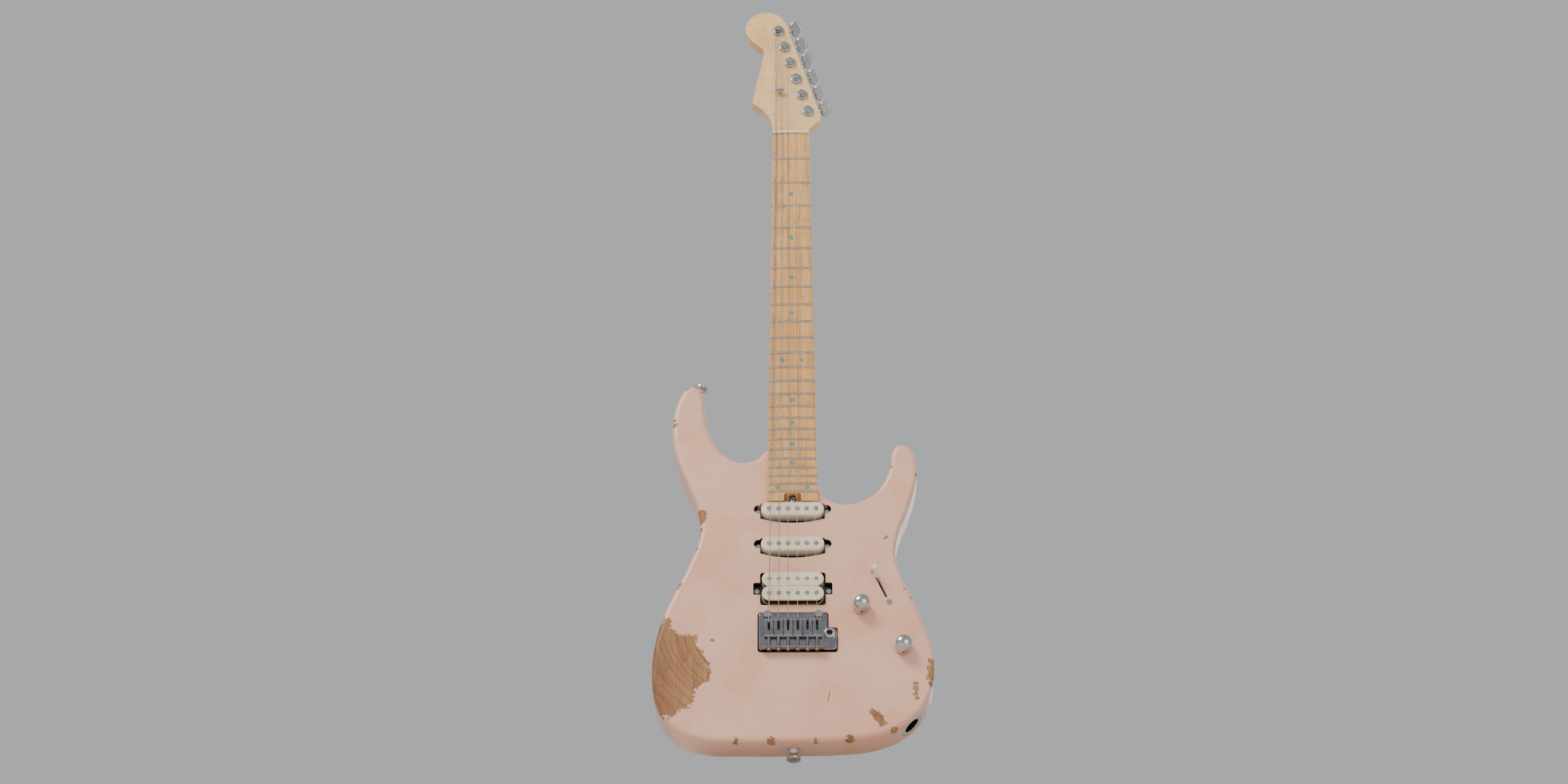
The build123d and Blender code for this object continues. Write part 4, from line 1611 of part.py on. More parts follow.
# ---- control fasteners ----
with BuildPart() as control_fasteners:
    # flanged nuts on the pots' bushings
    with BuildSketch(facing(0)):
        with Locations(front(*VOLUME_PLACE), front(*TONE_PLACE)):
            Circle(NUT_FLANGE_RADIUS)
    extrude(amount=NUT_FLANGE)
    with BuildSketch(facing(-NUT_FLANGE)):
        with Locations(front(*VOLUME_PLACE), front(*TONE_PLACE)):
            RegularPolygon(POT_NUT_RADIUS, 6)
    extrude(amount=POT_NUT_HEIGHT)
    with Locations(facing(0)):
        with Locations(front(*VOLUME_PLACE), front(*TONE_PLACE)):
            Cylinder(POT_BUSHING_RADIUS, 20, mode=Mode.SUBTRACT)
    # the switch's two cross-head screws
    for side in (-1, 1):
        seat = spot(*SWITCH_PLACE, 0) + SWITCH_UP * side * SWITCH_SCREW_SPACING / 2
        with Locations(Plane(origin=seat, x_dir=SWITCH_AXIS, z_dir=(0, 1, 0))):
            Cylinder(SWITCH_SCREW_RADIUS, TOP_OVER_CONTROLS + 3, align=CENTRE_UP)
            Cylinder(SWITCH_HEAD_RADIUS, SWITCH_HEAD_HEIGHT, align=CENTRE_DOWN)
            with Locations((0, 0, -SWITCH_HEAD_HEIGHT)):
                cross_slot(3.8, 0.8, 1.4)
save(control_fasteners, "control_fasteners")

# ---- output jack ----
with BuildPart() as jack_cup:
    with BuildSketch(jack_plane(-JACK_CUP_DEPTH)):
        Circle(JACK_CUP_RADIUS)
    extrude(amount=JACK_CUP_DEPTH)
    with BuildSketch(jack_plane(0)):
        Circle(JACK_FLANGE_RADIUS)
    extrude(amount=JACK_WALL)
    fillet(jack_cup.edges().sort_by(Axis(JACK_SEAT, JACK_DIRECTION))[-1], 1.0)
    with BuildSketch(jack_plane(JACK_WALL - JACK_CUP_DEPTH)):
        Circle(JACK_CUP_RADIUS - JACK_WALL)
    extrude(amount=30, mode=Mode.SUBTRACT)
    with BuildSketch(jack_plane(-JACK_CUP_DEPTH)):
        Circle(JACK_BUSHING_RADIUS)
    extrude(amount=4, mode=Mode.SUBTRACT)

with BuildPart() as jack_socket:
    with BuildSketch(jack_plane(-JACK_CUP_DEPTH)):
        Circle(JACK_BODY_RADIUS)
    extrude(amount=-JACK_BODY_LENGTH)
    with BuildSketch(jack_plane(-JACK_CUP_DEPTH)):
        Circle(JACK_BUSHING_RADIUS)
    extrude(amount=JACK_CUP_DEPTH + JACK_MOUTH)
    with BuildSketch(jack_plane(JACK_MOUTH)):
        Circle(JACK_BORE_RADIUS)
    extrude(amount=-JACK_BORE_LENGTH, mode=Mode.SUBTRACT)

with BuildPart() as jack_nut:
    with BuildSketch(jack_plane(JACK_WALL - JACK_CUP_DEPTH)):
        RegularPolygon(JACK_NUT_RADIUS, 6)
        Circle(JACK_BUSHING_RADIUS, mode=Mode.SUBTRACT)
    extrude(amount=JACK_NUT_HEIGHT)
save_group((jack_cup, jack_socket, jack_nut), "output_jack")

# ---- strap buttons ----
with BuildPart() as strap_buttons:
    for place, direction, sink in BUTTON_SEATS:
        seat = spot(*place, MID_DEPTH) - direction * (sink - BUTTON_SINK)
        rim = STRAP_BUTTON_HEIGHT
        with BuildSketch(Plane(origin=seat, x_dir=(0, 1, 0), z_dir=Vector(0, 1, 0).cross(direction))):
            with BuildLine():
                Polyline(
                    (BUTTON_SCREW_RADIUS, -BUTTON_SINK), (BUTTON_BASE_RADIUS, -BUTTON_SINK),
                    (BUTTON_BASE_RADIUS, 1.2),
                )
                Spline((BUTTON_BASE_RADIUS, 1.2), (BUTTON_WAIST_RADIUS, 5.0), (BUTTON_RIM_RADIUS, rim - 2.2))
                Polyline(
                    (BUTTON_RIM_RADIUS, rim - 2.2), (BUTTON_RIM_RADIUS, rim - 0.8),
                    (BUTTON_RIM_RADIUS - 0.8, rim), (BUTTON_SCREW_HEAD, rim),
                    (BUTTON_SCREW_RADIUS, rim - BUTTON_HEAD_HEIGHT), (BUTTON_SCREW_RADIUS, -BUTTON_SINK),
                )
            make_face()
        revolve(axis=Axis(seat, direction))
save(strap_buttons, "strap_buttons")

with BuildPart() as strap_button_screws:
    for place, direction, sink in BUTTON_SEATS:
        seat = spot(*place, MID_DEPTH) - direction * (sink - BUTTON_SINK)
        with Locations(Plane(origin=seat + direction * STRAP_BUTTON_HEIGHT, z_dir=-direction)):
            add(
                countersunk_screw(
                    BUTTON_SCREW_RADIUS, BUTTON_SCREW_LENGTH, BUTTON_SCREW_HEAD, BUTTON_HEAD_HEIGHT
                )
            )
save(strap_button_screws, "strap_button_screws")
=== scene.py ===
"""The electric guitar's looks: materials, fine pieces, floor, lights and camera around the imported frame."""
import json
import math

import bpy
from mathutils import Matrix, Vector


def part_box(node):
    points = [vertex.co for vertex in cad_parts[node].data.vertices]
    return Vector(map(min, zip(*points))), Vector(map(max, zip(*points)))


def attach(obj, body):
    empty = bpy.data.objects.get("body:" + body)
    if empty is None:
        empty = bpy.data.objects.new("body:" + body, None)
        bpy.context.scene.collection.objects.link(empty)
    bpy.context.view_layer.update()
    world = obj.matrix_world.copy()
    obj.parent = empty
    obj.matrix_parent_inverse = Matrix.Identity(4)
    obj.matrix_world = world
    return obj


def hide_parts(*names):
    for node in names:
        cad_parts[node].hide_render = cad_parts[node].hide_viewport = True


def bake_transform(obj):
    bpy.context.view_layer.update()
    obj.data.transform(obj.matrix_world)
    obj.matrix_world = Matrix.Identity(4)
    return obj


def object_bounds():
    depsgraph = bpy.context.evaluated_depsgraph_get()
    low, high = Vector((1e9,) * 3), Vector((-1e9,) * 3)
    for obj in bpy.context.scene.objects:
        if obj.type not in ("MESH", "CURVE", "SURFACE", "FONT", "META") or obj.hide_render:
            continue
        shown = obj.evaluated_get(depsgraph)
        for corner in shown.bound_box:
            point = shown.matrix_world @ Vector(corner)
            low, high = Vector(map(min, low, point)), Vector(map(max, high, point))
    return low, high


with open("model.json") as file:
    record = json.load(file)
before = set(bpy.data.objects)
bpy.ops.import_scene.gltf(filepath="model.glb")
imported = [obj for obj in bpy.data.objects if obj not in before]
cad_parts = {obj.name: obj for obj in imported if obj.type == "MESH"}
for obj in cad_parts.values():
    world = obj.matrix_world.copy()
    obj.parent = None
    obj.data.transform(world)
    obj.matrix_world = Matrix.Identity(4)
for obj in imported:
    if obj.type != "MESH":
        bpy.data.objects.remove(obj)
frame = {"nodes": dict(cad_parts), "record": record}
CAD_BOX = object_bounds()
NODES = frame["nodes"]
MM = 0.001

# ---- places from the frame ----
NUT_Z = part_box("nut")[0].z
FACE_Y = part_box("body")[0].y


def spot(x, distance, depth):
    """A point from millimetres across, below the nut and behind the body's face."""
    return Vector((x * MM, FACE_Y + depth * MM, NUT_Z - distance * MM))


# ---- materials ----
class Recipe:
    """A material's node tree, built with short calls; places are in millimetres in the row frame."""

    def __init__(self, name, roughness=0.5, metallic=0.0, coat=0.0, coat_roughness=0.1, specular=0.5):
        self.material = bpy.data.materials.new(name)
        self.material.use_nodes = True
        self.tree = self.material.node_tree
        self.shader = self.tree.nodes["Principled BSDF"]
        self.shader.inputs["Roughness"].default_value = roughness
        self.shader.inputs["Metallic"].default_value = metallic
        self.shader.inputs["Coat Weight"].default_value = coat
        self.shader.inputs["Coat Roughness"].default_value = coat_roughness
        self.shader.inputs["Specular IOR Level"].default_value = specular
        coordinates = self.tree.nodes.new("ShaderNodeTexCoord")
        scale = self.tree.nodes.new("ShaderNodeVectorMath")
        scale.operation = "SCALE"
        scale.inputs["Scale"].default_value = 1000.0
        self.tree.links.new(coordinates.outputs["Object"], scale.inputs[0])
        self.place = scale.outputs[0]
        split = self.tree.nodes.new("ShaderNodeSeparateXYZ")
        self.tree.links.new(self.place, split.inputs[0])
        self.x, self.y, self.z = split.outputs

    def feed(self, socket, value):
        """Links or sets one input."""
        if isinstance(value, bpy.types.NodeSocket):
            self.tree.links.new(value, socket)
        elif isinstance(value, (tuple, list)) and len(socket.default_value) == 4 and len(value) == 3:
            socket.default_value = (*value, 1.0)
        else:
            socket.default_value = value

    def math(self, operation, first, second=0.0, third=0.0, clamp=False):
        node = self.tree.nodes.new("ShaderNodeMath")
        node.operation = operation
        node.use_clamp = clamp
        for socket, value in zip(node.inputs, (first, second, third)):
            self.feed(socket, value)
        return node.outputs[0]

    def ramp(self, value, low, high, start=0.0, end=1.0, smooth=True):
        """A value remapped from low..high to start..end, held at the ends."""
        node = self.tree.nodes.new("ShaderNodeMapRange")
        node.interpolation_type = "SMOOTHSTEP" if smooth else "LINEAR"
        settings = {"Value": value, "From Min": low, "From Max": high, "To Min": start, "To Max": end}
        for name, number in settings.items():
            self.feed(node.inputs[name], number)
        return node.outputs[0]

    def mix(self, share, first, second):
        """A colour between two colours."""
        node = self.tree.nodes.new("ShaderNodeMix")
        node.data_type = "RGBA"
        self.feed(node.inputs["Factor"], share)
        self.feed(node.inputs[6], first)
        self.feed(node.inputs[7], second)
        return node.outputs[2]

    def stretched(self, x=1.0, y=1.0, z=1.0, shift=(0.0, 0.0, 0.0)):
        """The place with each axis scaled, for grain."""
        node = self.tree.nodes.new("ShaderNodeMapping")
        self.feed(node.inputs["Vector"], self.place)
        node.inputs["Scale"].default_value = (x, y, z)
        node.inputs["Location"].default_value = shift
        return node.outputs[0]

    def noise(self, size, detail=3.0, roughness=0.5, place=None, distortion=0.0):
        """Noise whose patches are about size millimetres across, from 0 to 1."""
        node = self.tree.nodes.new("ShaderNodeTexNoise")
        self.feed(node.inputs["Vector"], self.place if place is None else place)
        node.inputs["Scale"].default_value = 1.0 / size
        node.inputs["Detail"].default_value = detail
        node.inputs["Roughness"].default_value = roughness
        node.inputs["Distortion"].default_value = distortion
        return node.outputs[0]

    def cells(self, size, place=None, feature="F1", output="Distance"):
        node = self.tree.nodes.new("ShaderNodeTexVoronoi")
        node.feature = feature
        self.feed(node.inputs["Vector"], self.place if place is None else place)
        node.inputs["Scale"].default_value = 1.0 / size
        return node.outputs[output]

    def bump(self, height, strength, distance):
        """A bump from a height; distance is in millimetres."""
        node = self.tree.nodes.new("ShaderNodeBump")
        node.inputs["Strength"].default_value = strength
        node.inputs["Distance"].default_value = distance * MM
        self.feed(node.inputs["Height"], height)
        if self.shader.inputs["Normal"].is_linked:
            self.feed(node.inputs["Normal"], self.shader.inputs["Normal"].links[0].from_socket)
        self.tree.links.new(node.outputs[0], self.shader.inputs["Normal"])

    def colour(self, value):
        self.feed(self.shader.inputs["Base Color"], value)

    def rough(self, value):
        self.feed(self.shader.inputs["Roughness"], value)


def srgb(red, green, blue):
    """A colour given in 0..255 display values, as linear light."""
    def linear(value):
        value /= 255
        return value / 12.92 if value <= 0.04045 else ((value + 0.055) / 1.055) ** 2.4
    return (linear(red), linear(green), linear(blue))


# ---- the body's worn paint ----
# Bare places in the paint, each a disc: millimetres across, below the nut, and radius.
FOREARM_WEAR = (
    (-150.0, 668.0, 24.0), (-139.0, 647.0, 7.5), (-128.0, 682.0, 22.0), (-125.0, 702.0, 33.0),
    (-113.0, 703.0, 23.5), (-118.0, 677.0, 16.0), (-139.0, 725.0, 34.0), (-146.0, 700.0, 34.0),
)
CHIPS = (
    (-101.0, 511.5, 6.2), (-103.2, 518.5, 5.0), (-98.6, 508.5, 2.8), (-103.0, 530.0, 3.2),
    (-104.6, 536.0, 2.4),
    (-108.0, 552.5, 2.8), (-109.5, 556.0, 2.0), (-123.9, 599.0, 2.6), (-126.0, 603.0, 1.6),
    (-132.6, 389.0, 2.0), (-132.3, 395.5, 2.5), (111.8, 450.5, 1.9), (103.6, 541.0, 2.1), (122.5, 605.8, 1.3),
    (130.3, 616.0, 1.6), (149.8, 695.0, 4.2), (149.8, 704.0, 5.2), (149.0, 713.0, 4.4), (148.6, 721.0, 3.0),
    (132.4, 720.5, 2.6), (133.0, 727.0, 3.4), (132.0, 734.0, 2.6), (133.8, 739.0, 2.8),
    (86.0, 755.0, 4.2), (89.5, 758.5, 5.2), (93.0, 763.5, 5.4), (96.0, 768.5, 4.6),
    (-24.0, 788.5, 4.4), (23.7, 788.8, 2.4), (61.0, 787.0, 5.0), (108.5, 776.0, 4.4), (-88.5, 668.0, 1.6),
    (-62.0, 787.8, 2.6), (139.0, 460.0, 1.8), (-118.0, 345.5, 2.2),
)
SCRATCH = ((39.6, 729.9), (37.2, 743.2), 0.55)
GRAIN_CENTRE = (-30.0, 640.0)
WEAR_JAG = 7.5
CHIP_JAG = 2.6
DING_SPACING, DING_RADIUS, DING_JAG = 34.0, 0.55, 1.6
# Paint wears through at the front's edge only: millimetres behind the face, and how fast it ends.
WEAR_DEPTH, WEAR_END = 9.0, 1.6
# The routes' extent: behind the face, across from the middle, and below the nut.
CAVITY_FRONT, CAVITY_BACK = 0.9, 44.4
CAVITY_HALF = 47.5
CAVITY_START, CAVITY_END = 499.0, 690.0


def disc_field(recipe, flat, discs):
    """How far inside the nearest disc a place is, in millimetres."""
    deepest = -200.0
    for x, distance, radius in discs:
        reach = recipe.tree.nodes.new("ShaderNodeVectorMath")
        reach.operation = "DISTANCE"
        recipe.feed(reach.inputs[0], flat)
        reach.inputs[1].default_value = (x, 0.0, NUT_Z / MM - distance)
        deepest = recipe.math("MAXIMUM", deepest, recipe.math("SUBTRACT", radius, reach.outputs["Value"]))
    return deepest


def wood_colour(recipe, light, middle, dark, spacing=1.0):
    """Wood with its grain along the strings."""
    board = recipe.noise(22.0 * spacing, 3.0, 0.55, recipe.stretched(1.0, 1.0, 0.05), 0.6)
    pores = recipe.noise(1.1 * spacing, 4.0, 0.65, recipe.stretched(1.0, 1.0, 0.03))
    colour = recipe.mix(recipe.ramp(board, 0.30, 0.70), light, middle)
    return recipe.mix(recipe.ramp(pores, 0.48, 0.72, 0.0, 0.65), colour, dark), pores


def finish_material():
    recipe = Recipe("worn_pink_lacquer", roughness=0.36, coat=0.35, coat_roughness=0.22)
    join = recipe.tree.nodes.new("ShaderNodeCombineXYZ")
    recipe.feed(join.inputs[0], recipe.x)
    recipe.feed(join.inputs[2], recipe.z)
    flat = join.outputs[0]
    coarse = recipe.noise(9.0, 5.0, 0.62, flat)
    fine = recipe.noise(2.2, 4.0, 0.6, flat)
    jag = recipe.math("SUBTRACT", recipe.math("ADD", coarse, recipe.math("MULTIPLY", fine, 0.5)), 0.75)
    depth = recipe.math("SUBTRACT", recipe.y, FACE_Y / MM)
    fade = recipe.math("MAXIMUM", recipe.math("SUBTRACT", depth, WEAR_DEPTH), 0.0)
    fade = recipe.math("MULTIPLY", fade, WEAR_END)
    wear = recipe.math("MULTIPLY_ADD", jag, WEAR_JAG * 4, disc_field(recipe, flat, FOREARM_WEAR))
    wear = recipe.math("SUBTRACT", wear, fade)
    chip_jag = recipe.math("SUBTRACT", recipe.noise(2.6, 3.0, 0.6), 0.5)
    chips = recipe.math("MULTIPLY_ADD", chip_jag, CHIP_JAG * 4, disc_field(recipe, flat, CHIPS))
    chips = recipe.math("SUBTRACT", chips, fade)
    # the long scratch
    (x0, s0), (x1, s1), width = SCRATCH
    start = Vector((x0, 0.0, NUT_Z / MM - s0))
    line = Vector((x1, 0.0, NUT_Z / MM - s1)) - start
    offset = recipe.tree.nodes.new("ShaderNodeVectorMath")
    offset.operation = "SUBTRACT"
    recipe.feed(offset.inputs[0], flat)
    offset.inputs[1].default_value = start
    ahead = recipe.tree.nodes.new("ShaderNodeVectorMath")
    ahead.operation = "DOT_PRODUCT"
    recipe.feed(ahead.inputs[0], offset.outputs[0])
    ahead.inputs[1].default_value = line / line.length_squared
    share = recipe.math("ADD", ahead.outputs["Value"], 0.0, clamp=True)
    nearest = recipe.tree.nodes.new("ShaderNodeVectorMath")
    nearest.operation = "SCALE"
    nearest.inputs[0].default_value = line
    recipe.feed(nearest.inputs["Scale"], share)
    apart = recipe.tree.nodes.new("ShaderNodeVectorMath")
    apart.operation = "DISTANCE"
    recipe.feed(apart.inputs[0], offset.outputs[0])
    recipe.feed(apart.inputs[1], nearest.outputs[0])
    scratch = recipe.math("SUBTRACT", width, apart.outputs["Value"])
    scratch = recipe.math("SUBTRACT", scratch, fade)
    # random small dings all over
    ding_cells = recipe.cells(DING_SPACING, flat)
    ding_depth = recipe.math("SUBTRACT", DING_RADIUS, recipe.math("MULTIPLY", ding_cells, DING_SPACING))
    dings = recipe.math("MULTIPLY_ADD", chip_jag, DING_JAG, ding_depth)
    gate = recipe.ramp(recipe.noise(60.0, 1.0, 0.5, flat), 0.56, 0.58)
    dings = recipe.math("SUBTRACT", recipe.math("MULTIPLY", dings, gate), recipe.math("SUBTRACT", 1.0, gate))
    bare = recipe.math("MAXIMUM", recipe.math("MAXIMUM", wear, chips), recipe.math("MAXIMUM", scratch, dings))
    open_wood = recipe.ramp(bare, -0.05, 0.15)
    # painted shade: the routes in the front are coloured near-black inside, standing in for the shade that
    # falls in them
    behind_face = recipe.ramp(depth, CAVITY_FRONT, CAVITY_FRONT + 0.4)
    inside = recipe.math("MULTIPLY", behind_face, recipe.ramp(depth, CAVITY_BACK, CAVITY_BACK - 0.1))
    across = recipe.ramp(recipe.math("ABSOLUTE", recipe.x), CAVITY_HALF + 0.3, CAVITY_HALF)
    below = recipe.math("SUBTRACT", NUT_Z / MM, recipe.z)
    past_start = recipe.ramp(below, CAVITY_START, CAVITY_START + 0.5)
    along = recipe.math("MULTIPLY", past_start, recipe.ramp(below, CAVITY_END, CAVITY_END - 1.0))
    painted_route_shade = recipe.math("MULTIPLY", recipe.math("MULTIPLY", inside, across), along)
    # paint
    blotch = recipe.noise(70.0, 3.0, 0.5)
    grime = recipe.noise(16.0, 5.0, 0.65)
    paint = recipe.mix(recipe.ramp(blotch, 0.3, 0.7), srgb(236, 182, 154), srgb(229, 172, 143))
    paint = recipe.mix(recipe.ramp(grime, 0.55, 0.80, 0.0, 0.22), paint, srgb(194, 136, 106))
    wood, pores = wood_colour(recipe, srgb(192, 142, 94), srgb(166, 116, 70), srgb(112, 70, 36), 1.3)
    radius = recipe.tree.nodes.new("ShaderNodeVectorMath")
    radius.operation = "DISTANCE"
    recipe.feed(radius.inputs[0], flat)
    radius.inputs[1].default_value = (GRAIN_CENTRE[0], 0.0, NUT_Z / MM - GRAIN_CENTRE[1])
    ring_place = recipe.tree.nodes.new("ShaderNodeCombineXYZ")
    recipe.feed(ring_place.inputs[0], radius.outputs["Value"])
    recipe.feed(ring_place.inputs[2], recipe.math("MULTIPLY", recipe.z, 0.04))
    rings = recipe.noise(4.5, 3.0, 0.6, ring_place.outputs[0], 0.4)
    wood = recipe.mix(recipe.ramp(rings, 0.42, 0.64, 0.0, 0.7), wood, srgb(124, 78, 40))
    handled = recipe.ramp(recipe.x, -122.0, -168.0, 0.0, 0.75)
    wood = recipe.mix(handled, wood, srgb(106, 64, 30))
    dirt = recipe.ramp(recipe.noise(9.0, 4.0, 0.6), 0.50, 0.74, 0.0, 0.5)
    wood = recipe.mix(dirt, wood, srgb(98, 62, 34))
    worn_rim = recipe.math("MULTIPLY", recipe.ramp(bare, 0.0, 0.2), recipe.ramp(bare, 1.1, 0.3))
    wood = recipe.mix(recipe.math("MULTIPLY", worn_rim, 0.7), wood, srgb(78, 46, 24))
    lip = recipe.math("MULTIPLY", recipe.ramp(bare, -1.4, -0.2), recipe.ramp(bare, 0.05, -0.1))
    paint = recipe.mix(recipe.math("MULTIPLY", lip, 0.5), paint, srgb(240, 214, 198))
    colour = recipe.mix(open_wood, paint, wood)
    # painted shade: near-black colour inside the routes
    colour = recipe.mix(painted_route_shade, colour, srgb(22, 19, 17))
    recipe.colour(colour)
    smear = recipe.noise(5.0, 5.0, 0.7)
    satin = recipe.ramp(smear, 0.35, 0.75, 0.30, 0.46)
    rough = recipe.math("ADD", satin, recipe.math("MULTIPLY", open_wood, 0.28))
    recipe.rough(rough)
    # the paint's thickness shows at each bare place, then grain, then a faint waviness
    step = recipe.ramp(bare, -0.35, 0.25, 1.0, 0.0)
    recipe.bump(step, 0.9, 0.28)
    recipe.bump(recipe.math("MULTIPLY", open_wood, pores), 0.5, 0.18)
    recipe.bump(recipe.noise(3.2, 2.0, 0.5), 0.05, 0.05)
    return recipe.material


def maple_material():
    recipe = Recipe("satin_maple", roughness=0.42, coat=0.18, coat_roughness=0.3)
    colour, pores = wood_colour(recipe, srgb(248, 210, 152), srgb(240, 194, 132), srgb(204, 150, 92))
    figure = recipe.noise(7.0, 2.0, 0.5, recipe.stretched(0.25, 1.0, 1.6))
    colour = recipe.mix(recipe.ramp(figure, 0.42, 0.66, 0.0, 0.22), colour, srgb(206, 158, 108))
    handled = recipe.ramp(recipe.noise(60.0, 4.0, 0.6), 0.48, 0.72, 0.0, 0.22)
    recipe.colour(recipe.mix(handled, colour, srgb(178, 130, 86)))
    recipe.rough(recipe.ramp(recipe.noise(8.0, 4.0, 0.6), 0.3, 0.7, 0.36, 0.5))
    recipe.bump(pores, 0.25, 0.05)
    return recipe.material


def board_material():
    recipe = Recipe("fingerboard_maple", roughness=0.4, coat=0.15, coat_roughness=0.3)
    colour, pores = wood_colour(recipe, srgb(234, 182, 112), srgb(218, 160, 90), srgb(160, 104, 52), 0.8)
    streak = recipe.noise(5.0, 4.0, 0.6, recipe.stretched(1.0, 1.0, 0.05), 0.8)
    colour = recipe.mix(recipe.ramp(streak, 0.52, 0.70, 0.0, 0.55), colour, srgb(168, 116, 70))
    grime = recipe.ramp(recipe.noise(18.0, 5.0, 0.62), 0.50, 0.74, 0.0, 0.42)
    recipe.colour(recipe.mix(grime, colour, srgb(138, 96, 62)))
    recipe.rough(recipe.ramp(recipe.noise(6.0, 4.0, 0.6), 0.3, 0.7, 0.32, 0.5))
    recipe.bump(pores, 0.3, 0.06)
    return recipe.material


def pearl_material():
    recipe = Recipe("abalone", roughness=0.18, coat=0.6, coat_roughness=0.08)
    folds = recipe.noise(2.4, 3.0, 0.6, None, 2.2)
    colour = recipe.mix(recipe.ramp(folds, 0.35, 0.55), srgb(62, 92, 88), srgb(132, 158, 142))
    flecks = recipe.ramp(recipe.noise(1.5, 2.0, 0.5, None, 1.5), 0.5, 0.7)
    colour = recipe.mix(flecks, colour, srgb(178, 168, 152))
    recipe.colour(colour)
    recipe.bump(folds, 0.1, 0.05)
    return recipe.material


def bone_material():
    recipe = Recipe("nut_bone", roughness=0.4)
    recipe.colour(recipe.mix(recipe.noise(4.0, 4.0, 0.6), srgb(238, 230, 208), srgb(222, 210, 182)))
    recipe.bump(recipe.noise(0.8, 3.0, 0.6), 0.1, 0.03)
    return recipe.material


def metal_material(name, bright, dull, low, high, tarnish=0.15, grain=None, bump=0.02):
    """Plated or bare metal with smudges, fine scratches and a little tarnish."""
    recipe = Recipe(name, metallic=1.0)
    smudge = recipe.noise(7.0, 5.0, 0.65)
    spots = recipe.ramp(recipe.noise(2.0, 5.0, 0.7), 0.60, 0.78, 0.0, tarnish)
    plating = recipe.mix(recipe.ramp(smudge, 0.3, 0.7), bright, dull)
    recipe.colour(recipe.mix(spots, plating, srgb(92, 84, 74)))
    place = recipe.stretched(*grain) if grain else None
    hair = recipe.noise(0.5, 3.0, 0.7, place)
    smudged = recipe.ramp(smudge, 0.3, 0.75, low, (low + high) / 2)
    recipe.rough(recipe.math("MULTIPLY_ADD", hair, (high - low) / 2, smudged))
    recipe.bump(hair, bump * 5, 0.02)
    return recipe.material


def string_material():
    """Plain steel, with a wound wrap on the three lower strings."""
    recipe = Recipe("strings", metallic=1.0)
    low_side = recipe.ramp(recipe.x, 0.0, -0.2)
    turn = recipe.math("PINGPONG", recipe.z, 0.14)
    groove = recipe.math("MULTIPLY", recipe.ramp(turn, 0.0, 0.09), low_side)
    used = recipe.noise(14.0, 4.0, 0.6)
    colour = recipe.mix(recipe.ramp(used, 0.35, 0.7), srgb(196, 190, 180), srgb(150, 142, 132))
    recipe.colour(colour)
    recipe.rough(recipe.ramp(used, 0.3, 0.7, 0.24, 0.42))
    recipe.bump(groove, 0.6, 0.12)
    return recipe.material


def plastic_material(name, light, dark, low, high, speckle=0.5):
    recipe = Recipe(name, roughness=0.4)
    age = recipe.noise(20.0, 4.0, 0.6)
    dust = recipe.ramp(recipe.noise(3.0, 5.0, 0.7), 0.55, 0.8, 0.0, speckle)
    aged = recipe.mix(recipe.ramp(age, 0.3, 0.7), light, dark)
    recipe.colour(recipe.mix(dust, aged, tuple(channel * 0.72 for channel in dark)))
    recipe.rough(recipe.ramp(recipe.noise(5.0, 4.0, 0.65), 0.3, 0.7, low, high))
    recipe.bump(recipe.noise(0.7, 3.0, 0.6), 0.12, 0.03)
    return recipe.material


def copper_material():
    recipe = Recipe("enamelled_copper", roughness=0.3, metallic=0.8)
    wire = recipe.math("PINGPONG", recipe.y, 0.12)
    recipe.colour(recipe.mix(recipe.noise(4.0), srgb(150, 78, 42), srgb(112, 52, 26)))
    recipe.bump(wire, 0.5, 0.1)
    return recipe.material


MATERIALS = {
    "finish": finish_material(),
    "maple": maple_material(),
    "board": board_material(),
    "pearl": pearl_material(),
    "bone": bone_material(),
    "wound": string_material(),
    "fret": metal_material("fret_wire", srgb(214, 208, 198), srgb(188, 180, 168), 0.16, 0.34, 0.2),
    "chrome": metal_material("worn_chrome", srgb(212, 212, 214), srgb(186, 186, 190), 0.07, 0.24, 0.25),
    "steel": metal_material(
        "brushed_steel", srgb(168, 167, 168), srgb(138, 137, 138), 0.28, 0.5, 0.3, (1.0, 1.0, 0.08)
    ),
    "cream": plastic_material(
        "parchment_plastic", srgb(238, 226, 202), srgb(226, 210, 180), 0.32, 0.48, 0.35
    ),
    "black": plastic_material("black_plastic", srgb(34, 33, 34), srgb(24, 24, 25), 0.36, 0.56),
    "copper": copper_material(),
    # painted reflection: a darker copy of the chrome, standing in for the dark surroundings that the bridge
    # plate and saddles reflect
    "chrome_painted_dark_reflection": metal_material("chrome_with_painted_dark_reflection", srgb(172, 172, 176), srgb(140, 140, 146), 0.06, 0.2, 0.3),
    # painted shade: nickel darkened for the humbucker tray, standing in for the shade in its route
    "tray": metal_material("nickel_darkened_as_painted_shade", srgb(96, 90, 84), srgb(70, 66, 62), 0.3, 0.5, 0.4),
    "magnet": plastic_material("ceramic_magnet", srgb(62, 60, 60), srgb(48, 47, 47), 0.5, 0.7),
}
# the bridge plate and saddles take chrome darkened as a painted reflection
# the humbucker tray takes nickel darkened as painted shade
NODE_LOOKS = {"bridge_plate": "chrome_painted_dark_reflection", "saddles": "chrome_painted_dark_reflection", "humbucker_tray": "tray"}
for entry in frame["record"]["subparts"]:
    piece = NODES[entry["node"]]
    piece.data.materials.clear()
    looks = NODE_LOOKS.get(entry["node"], entry["material_slot"])
    piece.data.materials.append(MATERIALS[looks])

# ---- fine pieces ----
STRING_DIAMETERS = (1.17, 0.91, 0.66, 0.43, 0.33, 0.25)
SADDLE_PITCH = 10.5
SCALE_LENGTH = 647.7
SADDLE_SETBACK = (1.5, 1.0, 0.5, 1.2, 0.7, 0.2)
FRET_PLANE_DEPTH = -9.0
ACTION_AT_SADDLE = 3.4
BOARD_RADIUS = 305.0
WINDING_DEPTH = -3.4
POST_WAIST_RADIUS = 2.4
INTONATION_DEPTH = -6.1
SPRING_XS = (-18.0, 0.0, 18.0)
SPRING_DEPTH = 32.0


